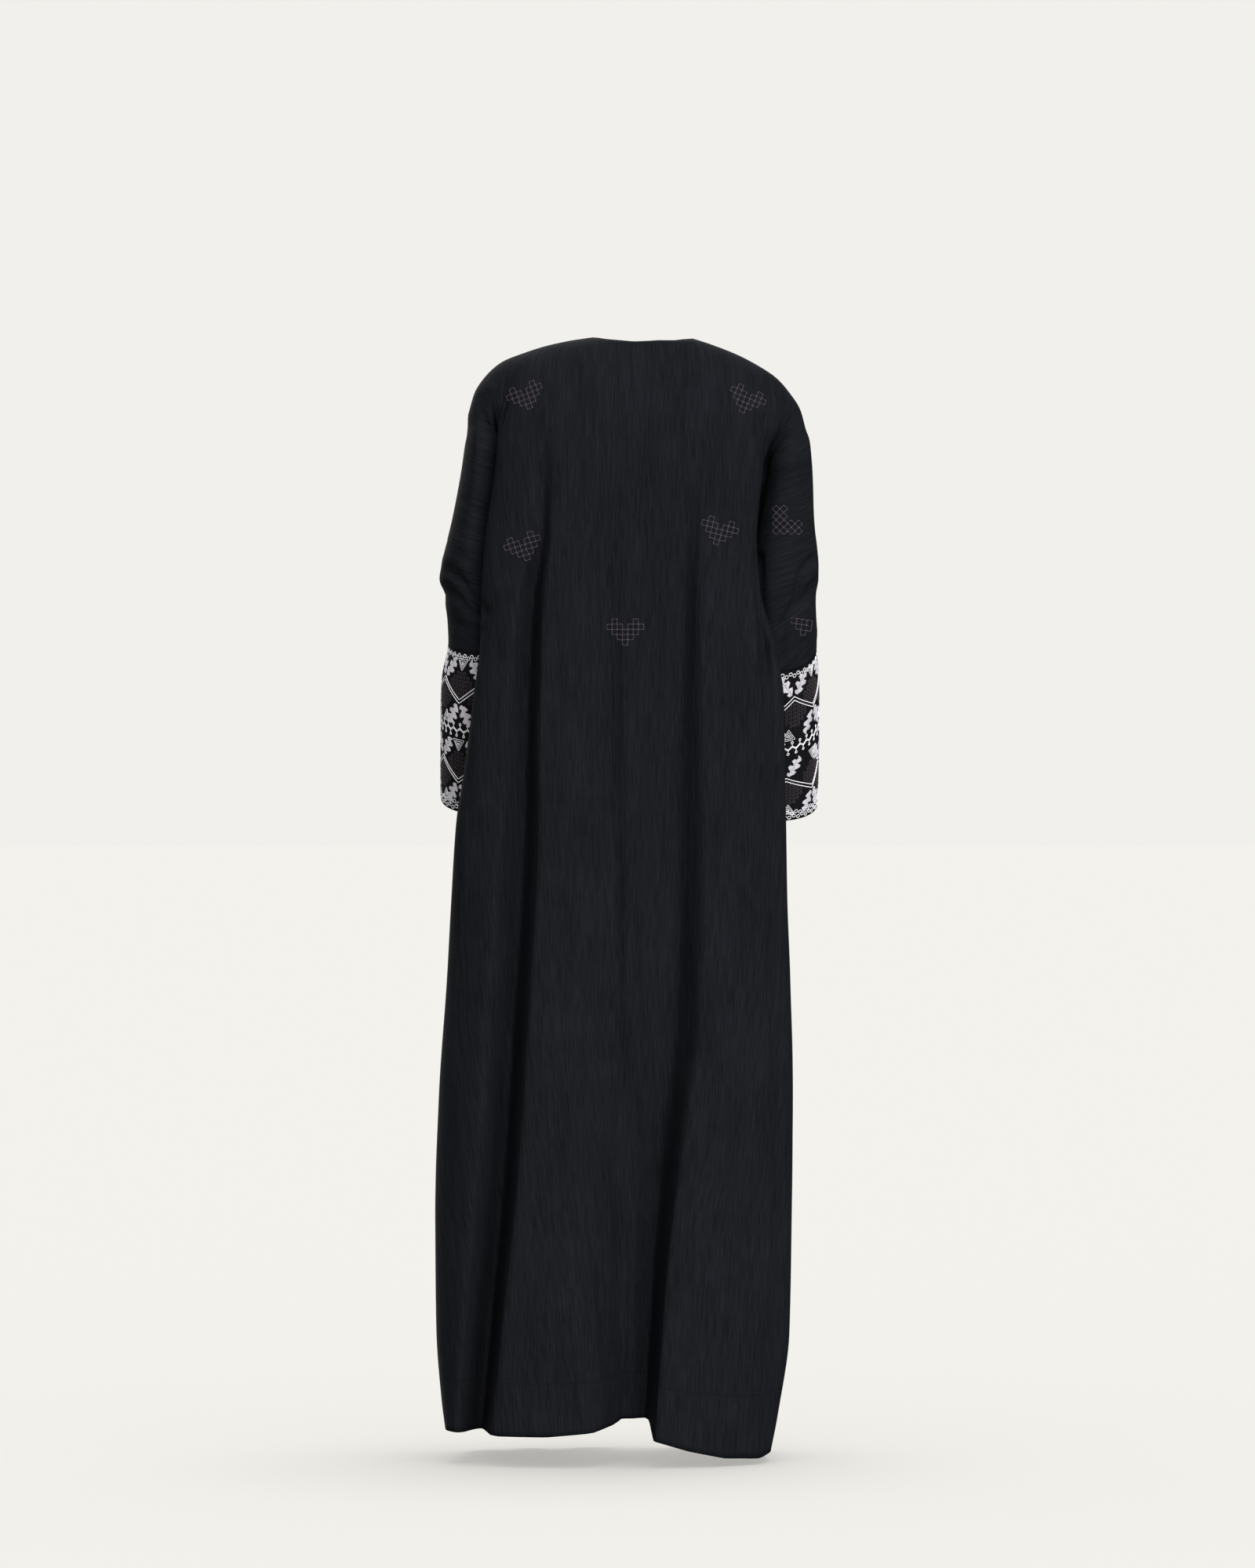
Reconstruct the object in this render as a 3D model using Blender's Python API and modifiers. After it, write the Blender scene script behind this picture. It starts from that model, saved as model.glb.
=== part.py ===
"""A loose black abaya, as worn with the arms hanging: a back, two fronts and two embroidered cuffs.

The front faces -Y, the wearer's left is +X and the origin is at the neck, at shoulder height.
Each sleeve is cut in one with the body, so a deep fold parts it from the body down to the underarm.
"""
import math

import bmesh
import bpy
import numpy as np

# Driving dimensions, in metres
WALL = 0.002
SEAM_GAP = 0.0003
LEAN_ALLOWANCE = 1.3
UNDERARM_Z = -0.340
CUFF_SEAM_Z = {"left": -0.406, "right": -0.410}
CUFF_DROP = {"left": 0.208, "right": 0.212}
CUFF_TILT = {"left": (math.radians(14), math.radians(21)), "right": (math.radians(31), math.radians(22))}
HEM_Z = -1.470
HEM_SETTLES_FROM = -1.200

# The yoke is a rounded form, which turns into the form with arms and folds between two heights.
# LOBE_SHARE is how much of its turn, from the shoulder seam to the middle, the arm takes.
YOKE_ENDS = (-0.085, -0.172)
LOBE_SHARE = 0.42
DOME_X_POWER = 0.9
DOME_Y_POWER = 0.85
DOME_Z_POWER = 1.5

# The deep fold between arm and body. Its bottom rises from the underarm to the yoke.
CLEFT_ROUND = 0.0045
CLEFT_FIRST_RISE = 0.016
CLEFT_FIRST_REACH = 0.020
CLEFT_HEIGHT = 0.245
CLEFT_RISE = {"back": 0.066, "front": 0.034}
CLEFT_RISE_POWER = 2.5

# The sleeve's section, as shares of its width, its depth and the fold beside it
SHOULDER_SHARE = (0.11, 0.66)
CROWN_SHARE = {"left": 0.36, "right": 0.44}
ARM_BACK_SHARE = {"left": (0.62, 0.80), "right": (0.74, 0.93)}
ARM_WALL_SHARE = {"left": (0.86, 0.42), "right": (0.94, 0.52)}
TUBE_POWER = 0.92

# The body's wall beside the arm, as shares of the way from the fold or side seam to the lobe
OPEN_WALL_SHARES = ((0.05, 0.30), (0.40, 0.62), (0.86, 0.84))
FOLD_WALL_SHARES = ((0.40, 0.50), (0.82, 0.80))
LOBE_TURN = (0.006, 0.024)

# How square the body's back is, and how near the lobe its folds fade
BACK_POWERS = (2.5, 0.42)
BACK_FOLD_FADE = 0.05

# Columns of points run down both sides of each fold, at these shares of its spread and this far apart
GUIDE_SHARES = (0.9, 0.95)
GUIDE_GAP = 0.012
SIDE_GUIDE_GAP = 0.008

# How soon a front's folds fade towards the lobe
FRONT_FOLD_FADE = 0.2

MM = 0.001
SIGN = {"left": 1.0, "right": -1.0}
FACING = {"back": 1.0, "front": -1.0}

# How many strips the cloth has between its guide points
ARM_STRIPS = (2, 2, 1, 1, 1, 1)
WALL_STRIPS = (1, 1, 1, 1)
BACK_STRIPS = (3, 3, 2, 3, 2, 3, 2, 3, 2, 2)
FRONT_STRIPS = 8
UPPER_ROWS = 8
SLEEVE_ROWS = 3
CUFF_ROWS = 5
SKIRT_ROWS = 24

# The yoke, from the neck to the top of the arms: z is where a row crosses the centre back, and the
# other columns are where it meets the shoulder seams and the front edges. Millimetres.
YOKE = (
    ("z", "left_x", "left_z", "right_x", "right_z", "back_y", "edge_x", "edge_y", "edge_z"),
    (0, 68, 8, 68, 6, 56, 46, -82, -70),
    (-14, 100, 3, 98, -4, 71, 43, -91, -84),
    (-28, 132, -4, 128, -16, 84, 40, -98, -98),
    (-43, 160, -13, 156, -31, 95, 37, -104, -112),
    (-60, 190, -25, 180, -47, 104, 34, -108, -126),
    (-78, 213, -45, 197, -66, 111, 31, -112, -140),
    (-99, 228, -68, 212, -89, 117, 29, -115, -154),
    (-122, 236, -97, 219, -114, 122, 27, -117, -168),
)

# The outer edge of each sleeve, and its seam, down from the yoke. Millimetres, x away from the middle.
SLEEVE = (
    ("z", "left_outer", "right_outer", "seam_y", "depth", "left_inner", "right_inner"),
    (-25, 190, 160, 0, 60, 190, 176),
    (-45, 213, 180, 0, 64, 190, 176),
    (-68, 228, 199, 0, 67, 190, 176),
    (-89, 234, 212, 0, 68, 190, 176),
    (-97, 236, 215, 0, 68, 190, 176),
    (-114, 237, 219, 0, 68, 190, 176),
    (-134, 240, 225, 0, 67, 189, 174),
    (-176, 246, 229, 1, 65, 185, 168),
    (-239, 258, 231, 2, 62, 180, 156),
    (-304, 273, 237, 1, 61, 174, 142),
    (-318, 275, 237, 0, 61, 172, 139),
    (-340, 267, 234, -3, 61, 169, 135),
    (-360, 262, 235, -7, 60, 166, 131),
    (-386, 263, 236, -13, 60, 162, 125),
    (-414, 264, 235, -20, 60, 157, 118),
    (-430, 268, 236, -24, 60, 155, 117),
    (-449, 272, 238, -28, 60, 155, 117),
    (-491, 274, 239, -39, 60, 156, 118),
    (-607, 275, 238, -67, 60, 157, 119),
    (-640, 271, 236, -75, 60, 157, 119),
)

# The body from the yoke to the hem. The lobes are its widest places, behind and before the arms,
# and the notch is the hollow between them where the arm hangs. Millimetres, x away from the middle.
BODY = (
    ("z", "left_lobe", "right_lobe", "lobe_y", "back_y", "left_notch", "right_notch", "notch_y",
     "front_left_lobe", "front_right_lobe", "front_lobe_y", "front_y", "edge_x"),
    (-122, 194, 166, 70, 122, 186, 170, 30, 176, 150, -62, -117, 27),
    (-176, 198, 160, 73, 126, 176, 158, 22, 172, 146, -66, -121, 26),
    (-271, 212, 152, 76, 127, 172, 144, 0, 168, 134, -70, -124, 25),
    (-340, 217, 157, 78, 126, 164, 130, -14, 168, 128, -74, -126, 26),
    (-402, 218, 174, 77, 124, 148, 112, -19, 168, 124, -82, -129, 27),
    (-481, 228, 188, 73, 122, 142, 104, -36, 166, 122, -104, -136, 29),
    (-578, 240, 190, 65, 122, 142, 104, -57, 168, 124, -124, -148, 31),
    (-649, 251, 192, 57, 123, 150, 114, -67, 176, 130, -138, -157, 33),
    (-754, 258, 194, 44, 125, 190, 146, -62, 214, 156, -124, -156, 35),
    (-859, 264, 198, 34, 128, 226, 170, -50, 236, 172, -100, -155, 37),
    (-1016, 275, 201, 26, 132, 252, 184, -38, 248, 184, -80, -154, 39),
    (-1184, 280, 200, 24, 137, 262, 188, -34, 252, 188, -74, -152, 40),
    (-1331, 278, 197, 28, 141, 262, 186, -34, 250, 186, -72, -151, 40),
    (-1430, 271, 181, 32, 144, 256, 176, -34, 246, 178, -72, -150, 40),
    (-1480, 265, 169, 34, 145, 250, 168, -34, 242, 170, -70, -150, 40),
)

# Folds down the back, from the wearer's left to the right. Each has its line, its depth and how far
# it spreads on either side, at a few heights. Millimetres.
FOLD_COLUMNS = ("z", "x", "depth", "spread_left", "spread_right")
BACK_FOLDS = {
    "left_deep": (
        FOLD_COLUMNS,
        (-90, 130, 0, 26, 22),
        (-170, 133, 6, 24, 18),
        (-260, 134, 16, 20, 14),
        (-344, 147, 28, 24, 17),
        (-512, 156, 38, 32, 21),
        (-701, 162, 46, 36, 24),
        (-911, 175, 56, 38, 25),
        (-1121, 188, 70, 40, 24),
        (-1331, 206, 82, 40, 19),
        (-1480, 219, 84, 36, 16),
    ),
    "middle": (
        FOLD_COLUMNS,
        (-200, 54, 0, 40, 26),
        (-300, 52, 6, 46, 28),
        (-512, 46, 11, 54, 28),
        (-701, 40, 17, 60, 27),
        (-1100, 36, 20, 58, 27),
        (-1300, 35, 22, 56, 26),
        (-1480, 32, 22, 50, 22),
    ),
    "right_soft": (
        FOLD_COLUMNS,
        (-180, -64, 0, 40, 24),
        (-260, -59, 10, 50, 24),
        (-344, -54, 20, 62, 26),
        (-512, -46, 28, 78, 38),
        (-701, -43, 37, 88, 44),
        (-911, -41, 46, 92, 40),
        (-1016, -29, 56, 92, 38),
        (-1121, -21, 67, 90, 30),
        (-1226, -14, 76, 86, 23),
        (-1480, 0, 84, 76, 17),
    ),
    "right_panel": (
        FOLD_COLUMNS,
        (-240, -118, 0, 26, 26),
        (-400, -128, 4, 26, 26),
        (-1480, -130, 5, 26, 24),
    ),
    "right_side": (
        FOLD_COLUMNS,
        (-370, -160, 0, 12, 12),
        (-440, -166, 7, 14, 12),
        (-640, -172, 8, 14, 12),
        (-1016, -180, 8, 14, 12),
        (-1300, -182, 8, 14, 12),
        (-1480, -166, 7, 12, 10),
    ),
}

# Softer folds down each front, hidden behind the body. The x is away from the middle.
FRONT_FOLDS = {
    "chest": (
        FOLD_COLUMNS,
        (-150, 96, 0, 30, 30),
        (-260, 98, 8, 30, 30),
        (-700, 104, 14, 34, 34),
        (-1480, 116, 24, 36, 36),
    ),
    "side": (
        FOLD_COLUMNS,
        (-420, 160, 0, 22, 22),
        (-600, 164, 8, 22, 24),
        (-900, 176, 14, 26, 26),
        (-1480, 186, 22, 28, 26),
    ),
}

# How far the hem lies below or above HEM_Z across the back, and across a front. Millimetres.
BACK_HEM = (
    ("x", "rise"),
    (-200, -14), (-176, -20), (-157, -27), (-110, -25), (-60, -15), (-14, -2),
    (-8, 22), (30, 21), (36, 16), (66, 9), (130, 3), (196, 3), (206, 7), (240, 11), (275, 14),
)
FRONT_HEM_RISE = 0.004

COLOURS = {
    "back": (0.0125, 0.0135, 0.0170),
    "front_left": (0.0125, 0.0135, 0.0170),
    "front_right": (0.0125, 0.0135, 0.0170),
    "cuff_left": (0.0150, 0.0150, 0.0180),
    "cuff_right": (0.0150, 0.0150, 0.0180),
}


def read(table, name, z):
    """The named column of a table at height z, smooth between its rows. z and the result are in metres."""
    column = table[0].index(name)
    rows = sorted(table[1:])
    heights = [row[0] * MM for row in rows]
    values = [row[column] * MM for row in rows]
    if z <= heights[0]:
        return values[0]
    if z >= heights[-1]:
        return values[-1]
    index = int(np.searchsorted(heights, z)) - 1
    index = max(0, min(index, len(rows) - 2))
    span = heights[index + 1] - heights[index]
    slopes = [(values[i + 1] - values[i]) / (heights[i + 1] - heights[i]) for i in range(len(rows) - 1)]

    def tangent(i):
        if i == 0:
            return slopes[0]
        if i == len(rows) - 1:
            return slopes[-1]
        before, after = slopes[i - 1], slopes[i]
        return 0.0 if before * after <= 0 else 2 * before * after / (before + after)

    t = (z - heights[index]) / span
    h00 = (1 + 2 * t) * (1 - t) ** 2
    h10 = t * (1 - t) ** 2
    h01 = t * t * (3 - 2 * t)
    h11 = t * t * (t - 1)
    return (h00 * values[index] + h10 * span * tangent(index)
            + h01 * values[index + 1] + h11 * span * tangent(index + 1))


def ease(low, high, value):
    """Rises smoothly from 0 at low to 1 at high."""
    t = min(1.0, max(0.0, (value - low) / (high - low)))
    return t * t * (3 - 2 * t)


def curve_through(points, counts, before, after):
    """A smooth curve through points, with a given number of strips between each two."""
    pts = [np.array(p, dtype=float) for p in points]
    ends = [np.array(before)] + pts + [np.array(after)]
    result = [pts[0]]
    for i, count in enumerate(counts):
        p0, p1, p2, p3 = ends[i:i + 4]
        t0 = 0.0
        t1 = t0 + max(1e-6, np.linalg.norm(p1 - p0)) ** 0.5
        t2 = t1 + max(1e-6, np.linalg.norm(p2 - p1)) ** 0.5
        t3 = t2 + max(1e-6, np.linalg.norm(p3 - p2)) ** 0.5
        for step in range(1, count + 1):
            t = t1 + (t2 - t1) * step / count
            a1 = (t1 - t) / (t1 - t0) * p0 + (t - t0) / (t1 - t0) * p1
            a2 = (t2 - t) / (t2 - t1) * p1 + (t - t1) / (t2 - t1) * p2
            a3 = (t3 - t) / (t3 - t2) * p2 + (t - t2) / (t3 - t2) * p3
            b1 = (t2 - t) / (t2 - t0) * a1 + (t - t0) / (t2 - t0) * a2
            b2 = (t3 - t) / (t3 - t1) * a2 + (t - t1) / (t3 - t1) * a3
            result.append((t2 - t) / (t2 - t1) * b1 + (t - t1) / (t2 - t1) * b2)
    return result


def row_heights():
    """Every row's heights at the shoulder seams, centre back and front edges, and the underarm's row."""
    rows = []
    for values in YOKE[1:]:
        entry = dict(zip(YOKE[0], values))
        rows.append({
            "left": entry["left_z"] * MM,
            "right": entry["right_z"] * MM,
            "back": entry["z"] * MM,
            "front": entry["edge_z"] * MM,
        })
    bottom = rows[-1]
    for i in range(1, UPPER_ROWS + 1):
        z = bottom["back"] + (UNDERARM_Z - bottom["back"]) * i / UPPER_ROWS
        keep = ease(UNDERARM_Z, bottom["back"], z)
        rows.append({name: z + (bottom[name] - bottom["back"]) * keep for name in bottom})
    underarm = len(rows) - 1
    for i in range(1, SKIRT_ROWS + 1):
        z = UNDERARM_Z + (HEM_Z - UNDERARM_Z) * (i / SKIRT_ROWS) ** 1.3
        rows.append(dict.fromkeys(bottom, z))
    return rows, underarm


def fold_depth(folds, x, z):
    """How far the cloth is drawn in at x by all the folds that cross height z."""
    total = 0.0
    for table in folds.values():
        centre = read(table, "x", z)
        spread = read(table, "spread_left", z) if x > centre else read(table, "spread_right", z)
        t = abs(x - centre) / spread
        if t < 1:
            total += read(table, "depth", z) * (1 + math.cos(math.pi * t)) / 2
    return total


def dome_point(row, side, face, u):
    """A point of the yoke's rounded form, from the shoulder seam (u = 0) to the middle (u = 1)."""
    if row["back"] >= YOKE[-1][0] * MM:
        outer = read(YOKE, side + "_x", row["back"])
        seam_y = 0.0
        middle_y = read(YOKE, "back_y" if face == "back" else "edge_y", row["back"])
        middle_x = 0.0 if face == "back" else read(YOKE, "edge_x", row["back"])
    else:
        outer = read(SLEEVE, side + "_outer", row[side])
        seam_y = read(SLEEVE, "seam_y", row[side])
        middle_y = read(BODY, face + "_y", row[face])
        middle_x = 0.0 if face == "back" else read(BODY, "edge_x", row[face])
    across = math.sin(u * math.pi / 2)
    x = middle_x + (outer - middle_x) * max(0.0, math.cos(u * math.pi / 2)) ** DOME_X_POWER
    y = seam_y + (middle_y - seam_y) * across ** DOME_Y_POWER
    z = row[side] + (row[face] - row[side]) * across ** DOME_Z_POWER
    return np.array((x, y, z))


def dome_share(row, side, face, x):
    """The u at which the dome lies x away from the middle."""
    outer = dome_point(row, side, face, 0.0)[0]
    middle = dome_point(row, side, face, 1.0)[0]
    share = min(1.0, max(0.0, (x - middle) / (outer - middle)))
    return math.acos(share ** (1 / DOME_X_POWER)) / (math.pi / 2)


def below_yoke(row):
    """How far a row has left the yoke's rounded form, from 0 to 1. It is the same on every piece."""
    return ease(YOKE_ENDS[0], YOKE_ENDS[1], row["back"])


def cleft_bottom(z, side, face):
    """The bottom of the deep fold between sleeve and body, which reaches the underarm."""
    x = read(SLEEVE, side + "_inner", z) - CLEFT_ROUND
    above = max(0.0, z - UNDERARM_Z)
    rise = CLEFT_FIRST_RISE * (1 - math.exp(-above / CLEFT_FIRST_REACH))
    rise += CLEFT_RISE[face] * min(1.0, above / CLEFT_HEIGHT) ** CLEFT_RISE_POWER
    return x, read(BODY, "notch_y", UNDERARM_Z) + FACING[face] * rise


def arm_section(z, side, face, after):
    """The sleeve above the underarm, from its overarm seam to the bottom of the fold beside the body."""
    facing = FACING[face]
    outer = read(SLEEVE, side + "_outer", z)
    seam_y = read(SLEEVE, "seam_y", z)
    depth = read(SLEEVE, "depth", z)
    inner = read(SLEEVE, side + "_inner", z)
    bottom_x, bottom_y = cleft_bottom(z, side, face)
    width = outer - inner
    crown_y = seam_y + facing * depth
    in_share, out_share = SHOULDER_SHARE
    back_share, back_rise = ARM_BACK_SHARE[side]
    wall_share, wall_rise = ARM_WALL_SHARE[side]
    keys = [
        (outer, seam_y),
        (outer - in_share * width, seam_y + facing * out_share * depth),
        (outer - CROWN_SHARE[side] * width, crown_y),
        (outer - back_share * width, bottom_y + back_rise * (crown_y - bottom_y)),
        (outer - wall_share * width, bottom_y + wall_rise * (crown_y - bottom_y)),
        (inner, bottom_y + facing * CLEFT_ROUND),
        (bottom_x, bottom_y),
    ]
    before = (outer - in_share * width, seam_y - facing * out_share * depth)
    return curve_through(keys, ARM_STRIPS, before=before, after=after)


def wall_section(z, side, face, split):
    """The body's own wall beside the arm, from the fold's bottom or the side seam out to the lobe."""
    facing = FACING[face]
    lobe_x = read(BODY, side + "_lobe" if face == "back" else f"front_{side}_lobe", z)
    lobe_y = read(BODY, "lobe_y" if face == "back" else "front_lobe_y", z)
    if split:
        x = read(BODY, side + "_notch", z)
        y = read(BODY, "notch_y", z)
        keys = [(x, y)]
        keys += [(x + a * (lobe_x - x), y + b * (lobe_y - y)) for a, b in OPEN_WALL_SHARES]
        keys.append((lobe_x, lobe_y))
        before = (keys[1][0], 2 * y - keys[1][1])
    else:
        x, y = cleft_bottom(z, side, face)
        mouth = (x - CLEFT_ROUND, y + facing * CLEFT_ROUND)
        keys = [(x, y), mouth]
        keys += [(mouth[0] + a * (lobe_x - mouth[0]), y + b * (lobe_y - y)) for a, b in FOLD_WALL_SHARES]
        keys.append((lobe_x, lobe_y))
        before = (x + CLEFT_ROUND, mouth[1])
    after = (lobe_x - LOBE_TURN[0], lobe_y + facing * LOBE_TURN[1])
    return curve_through(keys, WALL_STRIPS, before=before, after=after)


def back_guides(z):
    """The columns across the body's back, set close where its folds run. The result runs from +x to -x."""
    left = read(BODY, "left_lobe", z)
    right = -read(BODY, "right_lobe", z)

    def beside(name, side):
        table = BACK_FOLDS[name]
        centre = read(table, "x", z)
        if side > 0:
            return centre + GUIDE_SHARES[0] * read(table, "spread_left", z)
        if side < 0:
            return centre - GUIDE_SHARES[1] * read(table, "spread_right", z)
        return centre

    guides = [
        left,
        beside("left_deep", 1), beside("left_deep", 0), beside("left_deep", -1),
        beside("middle", 0),
        min(beside("right_soft", 1), beside("middle", 0) - GUIDE_GAP),
        beside("right_soft", 0), beside("right_soft", -1),
        beside("right_panel", 0),
        beside("right_side", 0),
        right,
    ]
    guides[1] = min(guides[1], left - GUIDE_GAP)
    guides[9] = max(guides[9], right + SIDE_GUIDE_GAP)
    places = [left]
    for i, count in enumerate(BACK_STRIPS):
        for step in range(1, count + 1):
            share = step / count
            if i == 0:
                share = 1 - math.cos(share * math.pi / 2)
            places.append(guides[i] + (guides[i + 1] - guides[i]) * share)
    return places


def back_surface(x, z):
    """The body's back at x, with its folds."""
    left = read(BODY, "left_lobe", z)
    right = -read(BODY, "right_lobe", z)
    across = min(1.0, abs(2 * x - left - right) / (left - right))
    lobe_y = read(BODY, "lobe_y", z)
    bulge = max(0.0, 1 - across ** BACK_POWERS[0]) ** BACK_POWERS[1]
    full = lobe_y + (read(BODY, "back_y", z) - lobe_y) * bulge
    edge = min(1.0, (1 - across) / BACK_FOLD_FADE)
    return full - fold_depth(BACK_FOLDS, x, z) * edge


def front_surface(share, z, side):
    """The body's front, from the lobe (share 0) to its open edge (share 1), with its folds."""
    lobe_x = read(BODY, f"front_{side}_lobe", z)
    lobe_y = read(BODY, "front_lobe_y", z)
    edge_x = read(BODY, "edge_x", z)
    angle = share * math.pi / 2
    x = edge_x + (lobe_x - edge_x) * max(0.0, math.cos(angle)) ** DOME_X_POWER
    y = lobe_y + (read(BODY, "front_y", z) - lobe_y) * math.sin(angle) ** DOME_Y_POWER
    return x, y + fold_depth(FRONT_FOLDS, x, z) * min(1.0, share / FRONT_FOLD_FADE)


def hem_rise(x, face):
    """How far the hem lies above its usual height at x."""
    if face == "front":
        return FRONT_HEM_RISE
    return float(np.interp(x, [row[0] * MM for row in BACK_HEM[1:]], [row[1] * MM for row in BACK_HEM[1:]]))


def body_row(row, face, side, split):
    """One row of the body on one side, from the fold or side seam to the lobe, as world points."""
    blend = below_yoke(row)
    flat = wall_section(row[face], side, face, split)
    points = []
    first = sum(ARM_STRIPS)
    total = first + sum(WALL_STRIPS)
    for i, (x, y) in enumerate(flat):
        dome = dome_point(row, side, face, LOBE_SHARE * (first + i) / total)
        x = dome[0] + (x - dome[0]) * blend
        y = dome[1] + (y - dome[1]) * blend
        points.append(place(x * SIGN[side], y, dome[2], face))
    return points


def place(x, y, z, face):
    """A world point, with the hem's rise taken up over the lowest part of the skirt."""
    if z < HEM_SETTLES_FROM:
        z += hem_rise(x, face) * ((z - HEM_SETTLES_FROM) / (HEM_Z - HEM_SETTLES_FROM)) ** 2
    return np.array((x, y, z))


def arm_row(row, face, side):
    """One row of a sleeve above the underarm, from its overarm seam to the fold, as world points."""
    z = row[side]
    blend = below_yoke(row)
    lip = wall_section(z, side, face, False)[1]
    flat = arm_section(z, side, face, lip)
    total = sum(ARM_STRIPS) + sum(WALL_STRIPS)
    points = []
    for i, (x, y) in enumerate(flat):
        dome = dome_point(row, side, face, LOBE_SHARE * i / total)
        x = dome[0] + (x - dome[0]) * blend
        y = dome[1] + (y - dome[1]) * blend
        points.append(np.array((x * SIGN[side], y, dome[2])))
    return points


def sleeve_ring(z, side, face, slope, tube_share):
    """Half a ring of the sleeve or cuff below the underarm, from the overarm seam to the inner seam."""
    facing = FACING[face]
    outer = read(SLEEVE, side + "_outer", z)
    inner = read(SLEEVE, side + "_inner", z)
    seam_y = read(SLEEVE, "seam_y", z)
    depth = read(SLEEVE, "depth", z)
    middle = (outer + inner) / 2
    half = (outer - inner) / 2
    shaped = arm_section(UNDERARM_Z, side, face, wall_section(UNDERARM_Z, side, face, False)[1])
    start_seam = read(SLEEVE, "seam_y", UNDERARM_Z)
    count = sum(ARM_STRIPS)
    points = []
    for i in range(count + 1):
        angle = math.pi * i / count
        tube_x = middle + half * math.copysign(abs(math.cos(angle)) ** TUBE_POWER, math.cos(angle))
        tube_y = seam_y + facing * depth * max(0.0, math.sin(angle)) ** TUBE_POWER
        x = shaped[i][0] + (tube_x - shaped[i][0]) * tube_share
        y = shaped[i][1] - start_seam + seam_y
        y += (tube_y - y) * tube_share
        drop = (y - seam_y) * slope
        points.append(np.array((x * SIGN[side], y, z - drop)))
    return points


def add_strip(faces, above, below, flip):
    """Faces between two rows of keys."""
    for i in range(len(above) - 1):
        face = (above[i], above[i + 1], below[i + 1], below[i])
        faces.append(face[::-1] if flip else face)


def arm_keys(piece, side, number, count, underarm):
    """Names of the points of a sleeve's row. Points on a seam have a name that both pieces share."""
    keys = [("overarm", side, number)] + [(piece, side, "arm", number, i) for i in range(1, count)]
    return keys + [("crotch", side) if number == underarm else (piece, side, "arm", number, count)]


def add_sleeve(cloth, faces, piece, side, face, underarm, flip):
    """The sleeve from the underarm down to the cuff's seam."""
    count = sum(ARM_STRIPS)
    above = arm_keys(piece, side, underarm, count, underarm)
    for k in range(1, SLEEVE_ROWS + 1):
        share = k / SLEEVE_ROWS
        z = UNDERARM_Z + (CUFF_SEAM_Z[side] - UNDERARM_Z) * share
        number = underarm + k
        keys = [("overarm", side, number)] + [(piece, side, "arm", number, i) for i in range(1, count)]
        keys.append(("inner", side, number))
        slope = share * math.tan(CUFF_TILT[side][0])
        cloth.update(zip(keys, sleeve_ring(z, side, face, slope, ease(0, 1, share))))
        add_strip(faces, above, keys, flip)
        above = keys


def build_back(rows, underarm):
    """The back and the back halves of both sleeves."""
    cloth, faces = {}, []
    count = sum(ARM_STRIPS)
    above = None
    for number, row in enumerate(rows):
        split = number > underarm
        z = row["back"]
        blend = below_yoke(row)
        line = []
        walls = {}
        for side in ("left", "right"):
            walls[side] = body_row(row, "back", side, split)
        places = back_guides(min(z, BODY[1][0] * MM))
        ends = (walls["left"][-1], walls["right"][-1])
        for i, x in enumerate(places[1:-1], start=1):
            share = (places[0] - x) / (places[0] - places[-1])
            dome_x = ends[0][0] + (ends[1][0] - ends[0][0]) * share
            side = "left" if dome_x > 0 else "right"
            dome = dome_point(row, side, "back", dome_share(row, side, "back", abs(dome_x)))
            mixed_x = dome_x + (x - dome_x) * blend
            mixed_y = dome[1] + (back_surface(x, z) - dome[1]) * blend
            line.append((("back", "body", number, i), place(mixed_x, mixed_y, dome[2], "back")))
        left = [(("back", "left", "wall", number, i), p) for i, p in enumerate(walls["left"])]
        right = [(("back", "right", "wall", number, i), p) for i, p in enumerate(walls["right"])][::-1]
        if split:
            left[0] = (("side", "left", number), left[0][1])
            right[-1] = (("side", "right", number), right[-1][1])
            line = left + line + right
        else:
            arms = {}
            for side in ("left", "right"):
                keys = arm_keys("back", side, number, count, underarm)
                arms[side] = list(zip(keys, arm_row(row, "back", side)))
            line = arms["left"] + left[1:] + line + right[:-1] + arms["right"][::-1]
        cloth.update(line)
        keys = [key for key, point in line]
        if above:
            joined = above[count:-count] if split and len(above) != len(keys) else above
            add_strip(faces, joined, keys, True)
        above = keys
    add_sleeve(cloth, faces, "back", "left", "back", underarm, True)
    add_sleeve(cloth, faces, "back", "right", "back", underarm, False)
    return cloth, faces


def build_front(rows, underarm, side):
    """One front and the front half of its sleeve."""
    piece = "front_" + side
    cloth, faces = {}, []
    count = sum(ARM_STRIPS)
    flip = side == "right"
    above = None
    for number, row in enumerate(rows):
        split = number > underarm
        z = row["front"]
        blend = below_yoke(row)
        wall = body_row(row, "front", side, split)
        line = []
        for i in range(1, FRONT_STRIPS + 1):
            share = i / FRONT_STRIPS
            dome = dome_point(row, side, "front", LOBE_SHARE + (1 - LOBE_SHARE) * share)
            x, y = front_surface(share, z, side)
            x = dome[0] + (x - dome[0]) * blend
            y = dome[1] + (y - dome[1]) * blend
            line.append(((piece, "body", number, i), place(x * SIGN[side], y, dome[2], "front")))
        walls = [((piece, side, "wall", number, i), p) for i, p in enumerate(wall)]
        if split:
            walls[0] = (("side", side, number), wall[0])
            line = walls + line
        else:
            keys = arm_keys(piece, side, number, count, underarm)
            line = list(zip(keys, arm_row(row, "front", side))) + walls[1:] + line
        cloth.update(line)
        keys = [key for key, point in line]
        if above:
            joined = above[count:] if split and len(above) != len(keys) else above
            add_strip(faces, joined, keys, flip)
        above = keys
    add_sleeve(cloth, faces, piece, side, "front", underarm, flip)
    return cloth, faces


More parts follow.
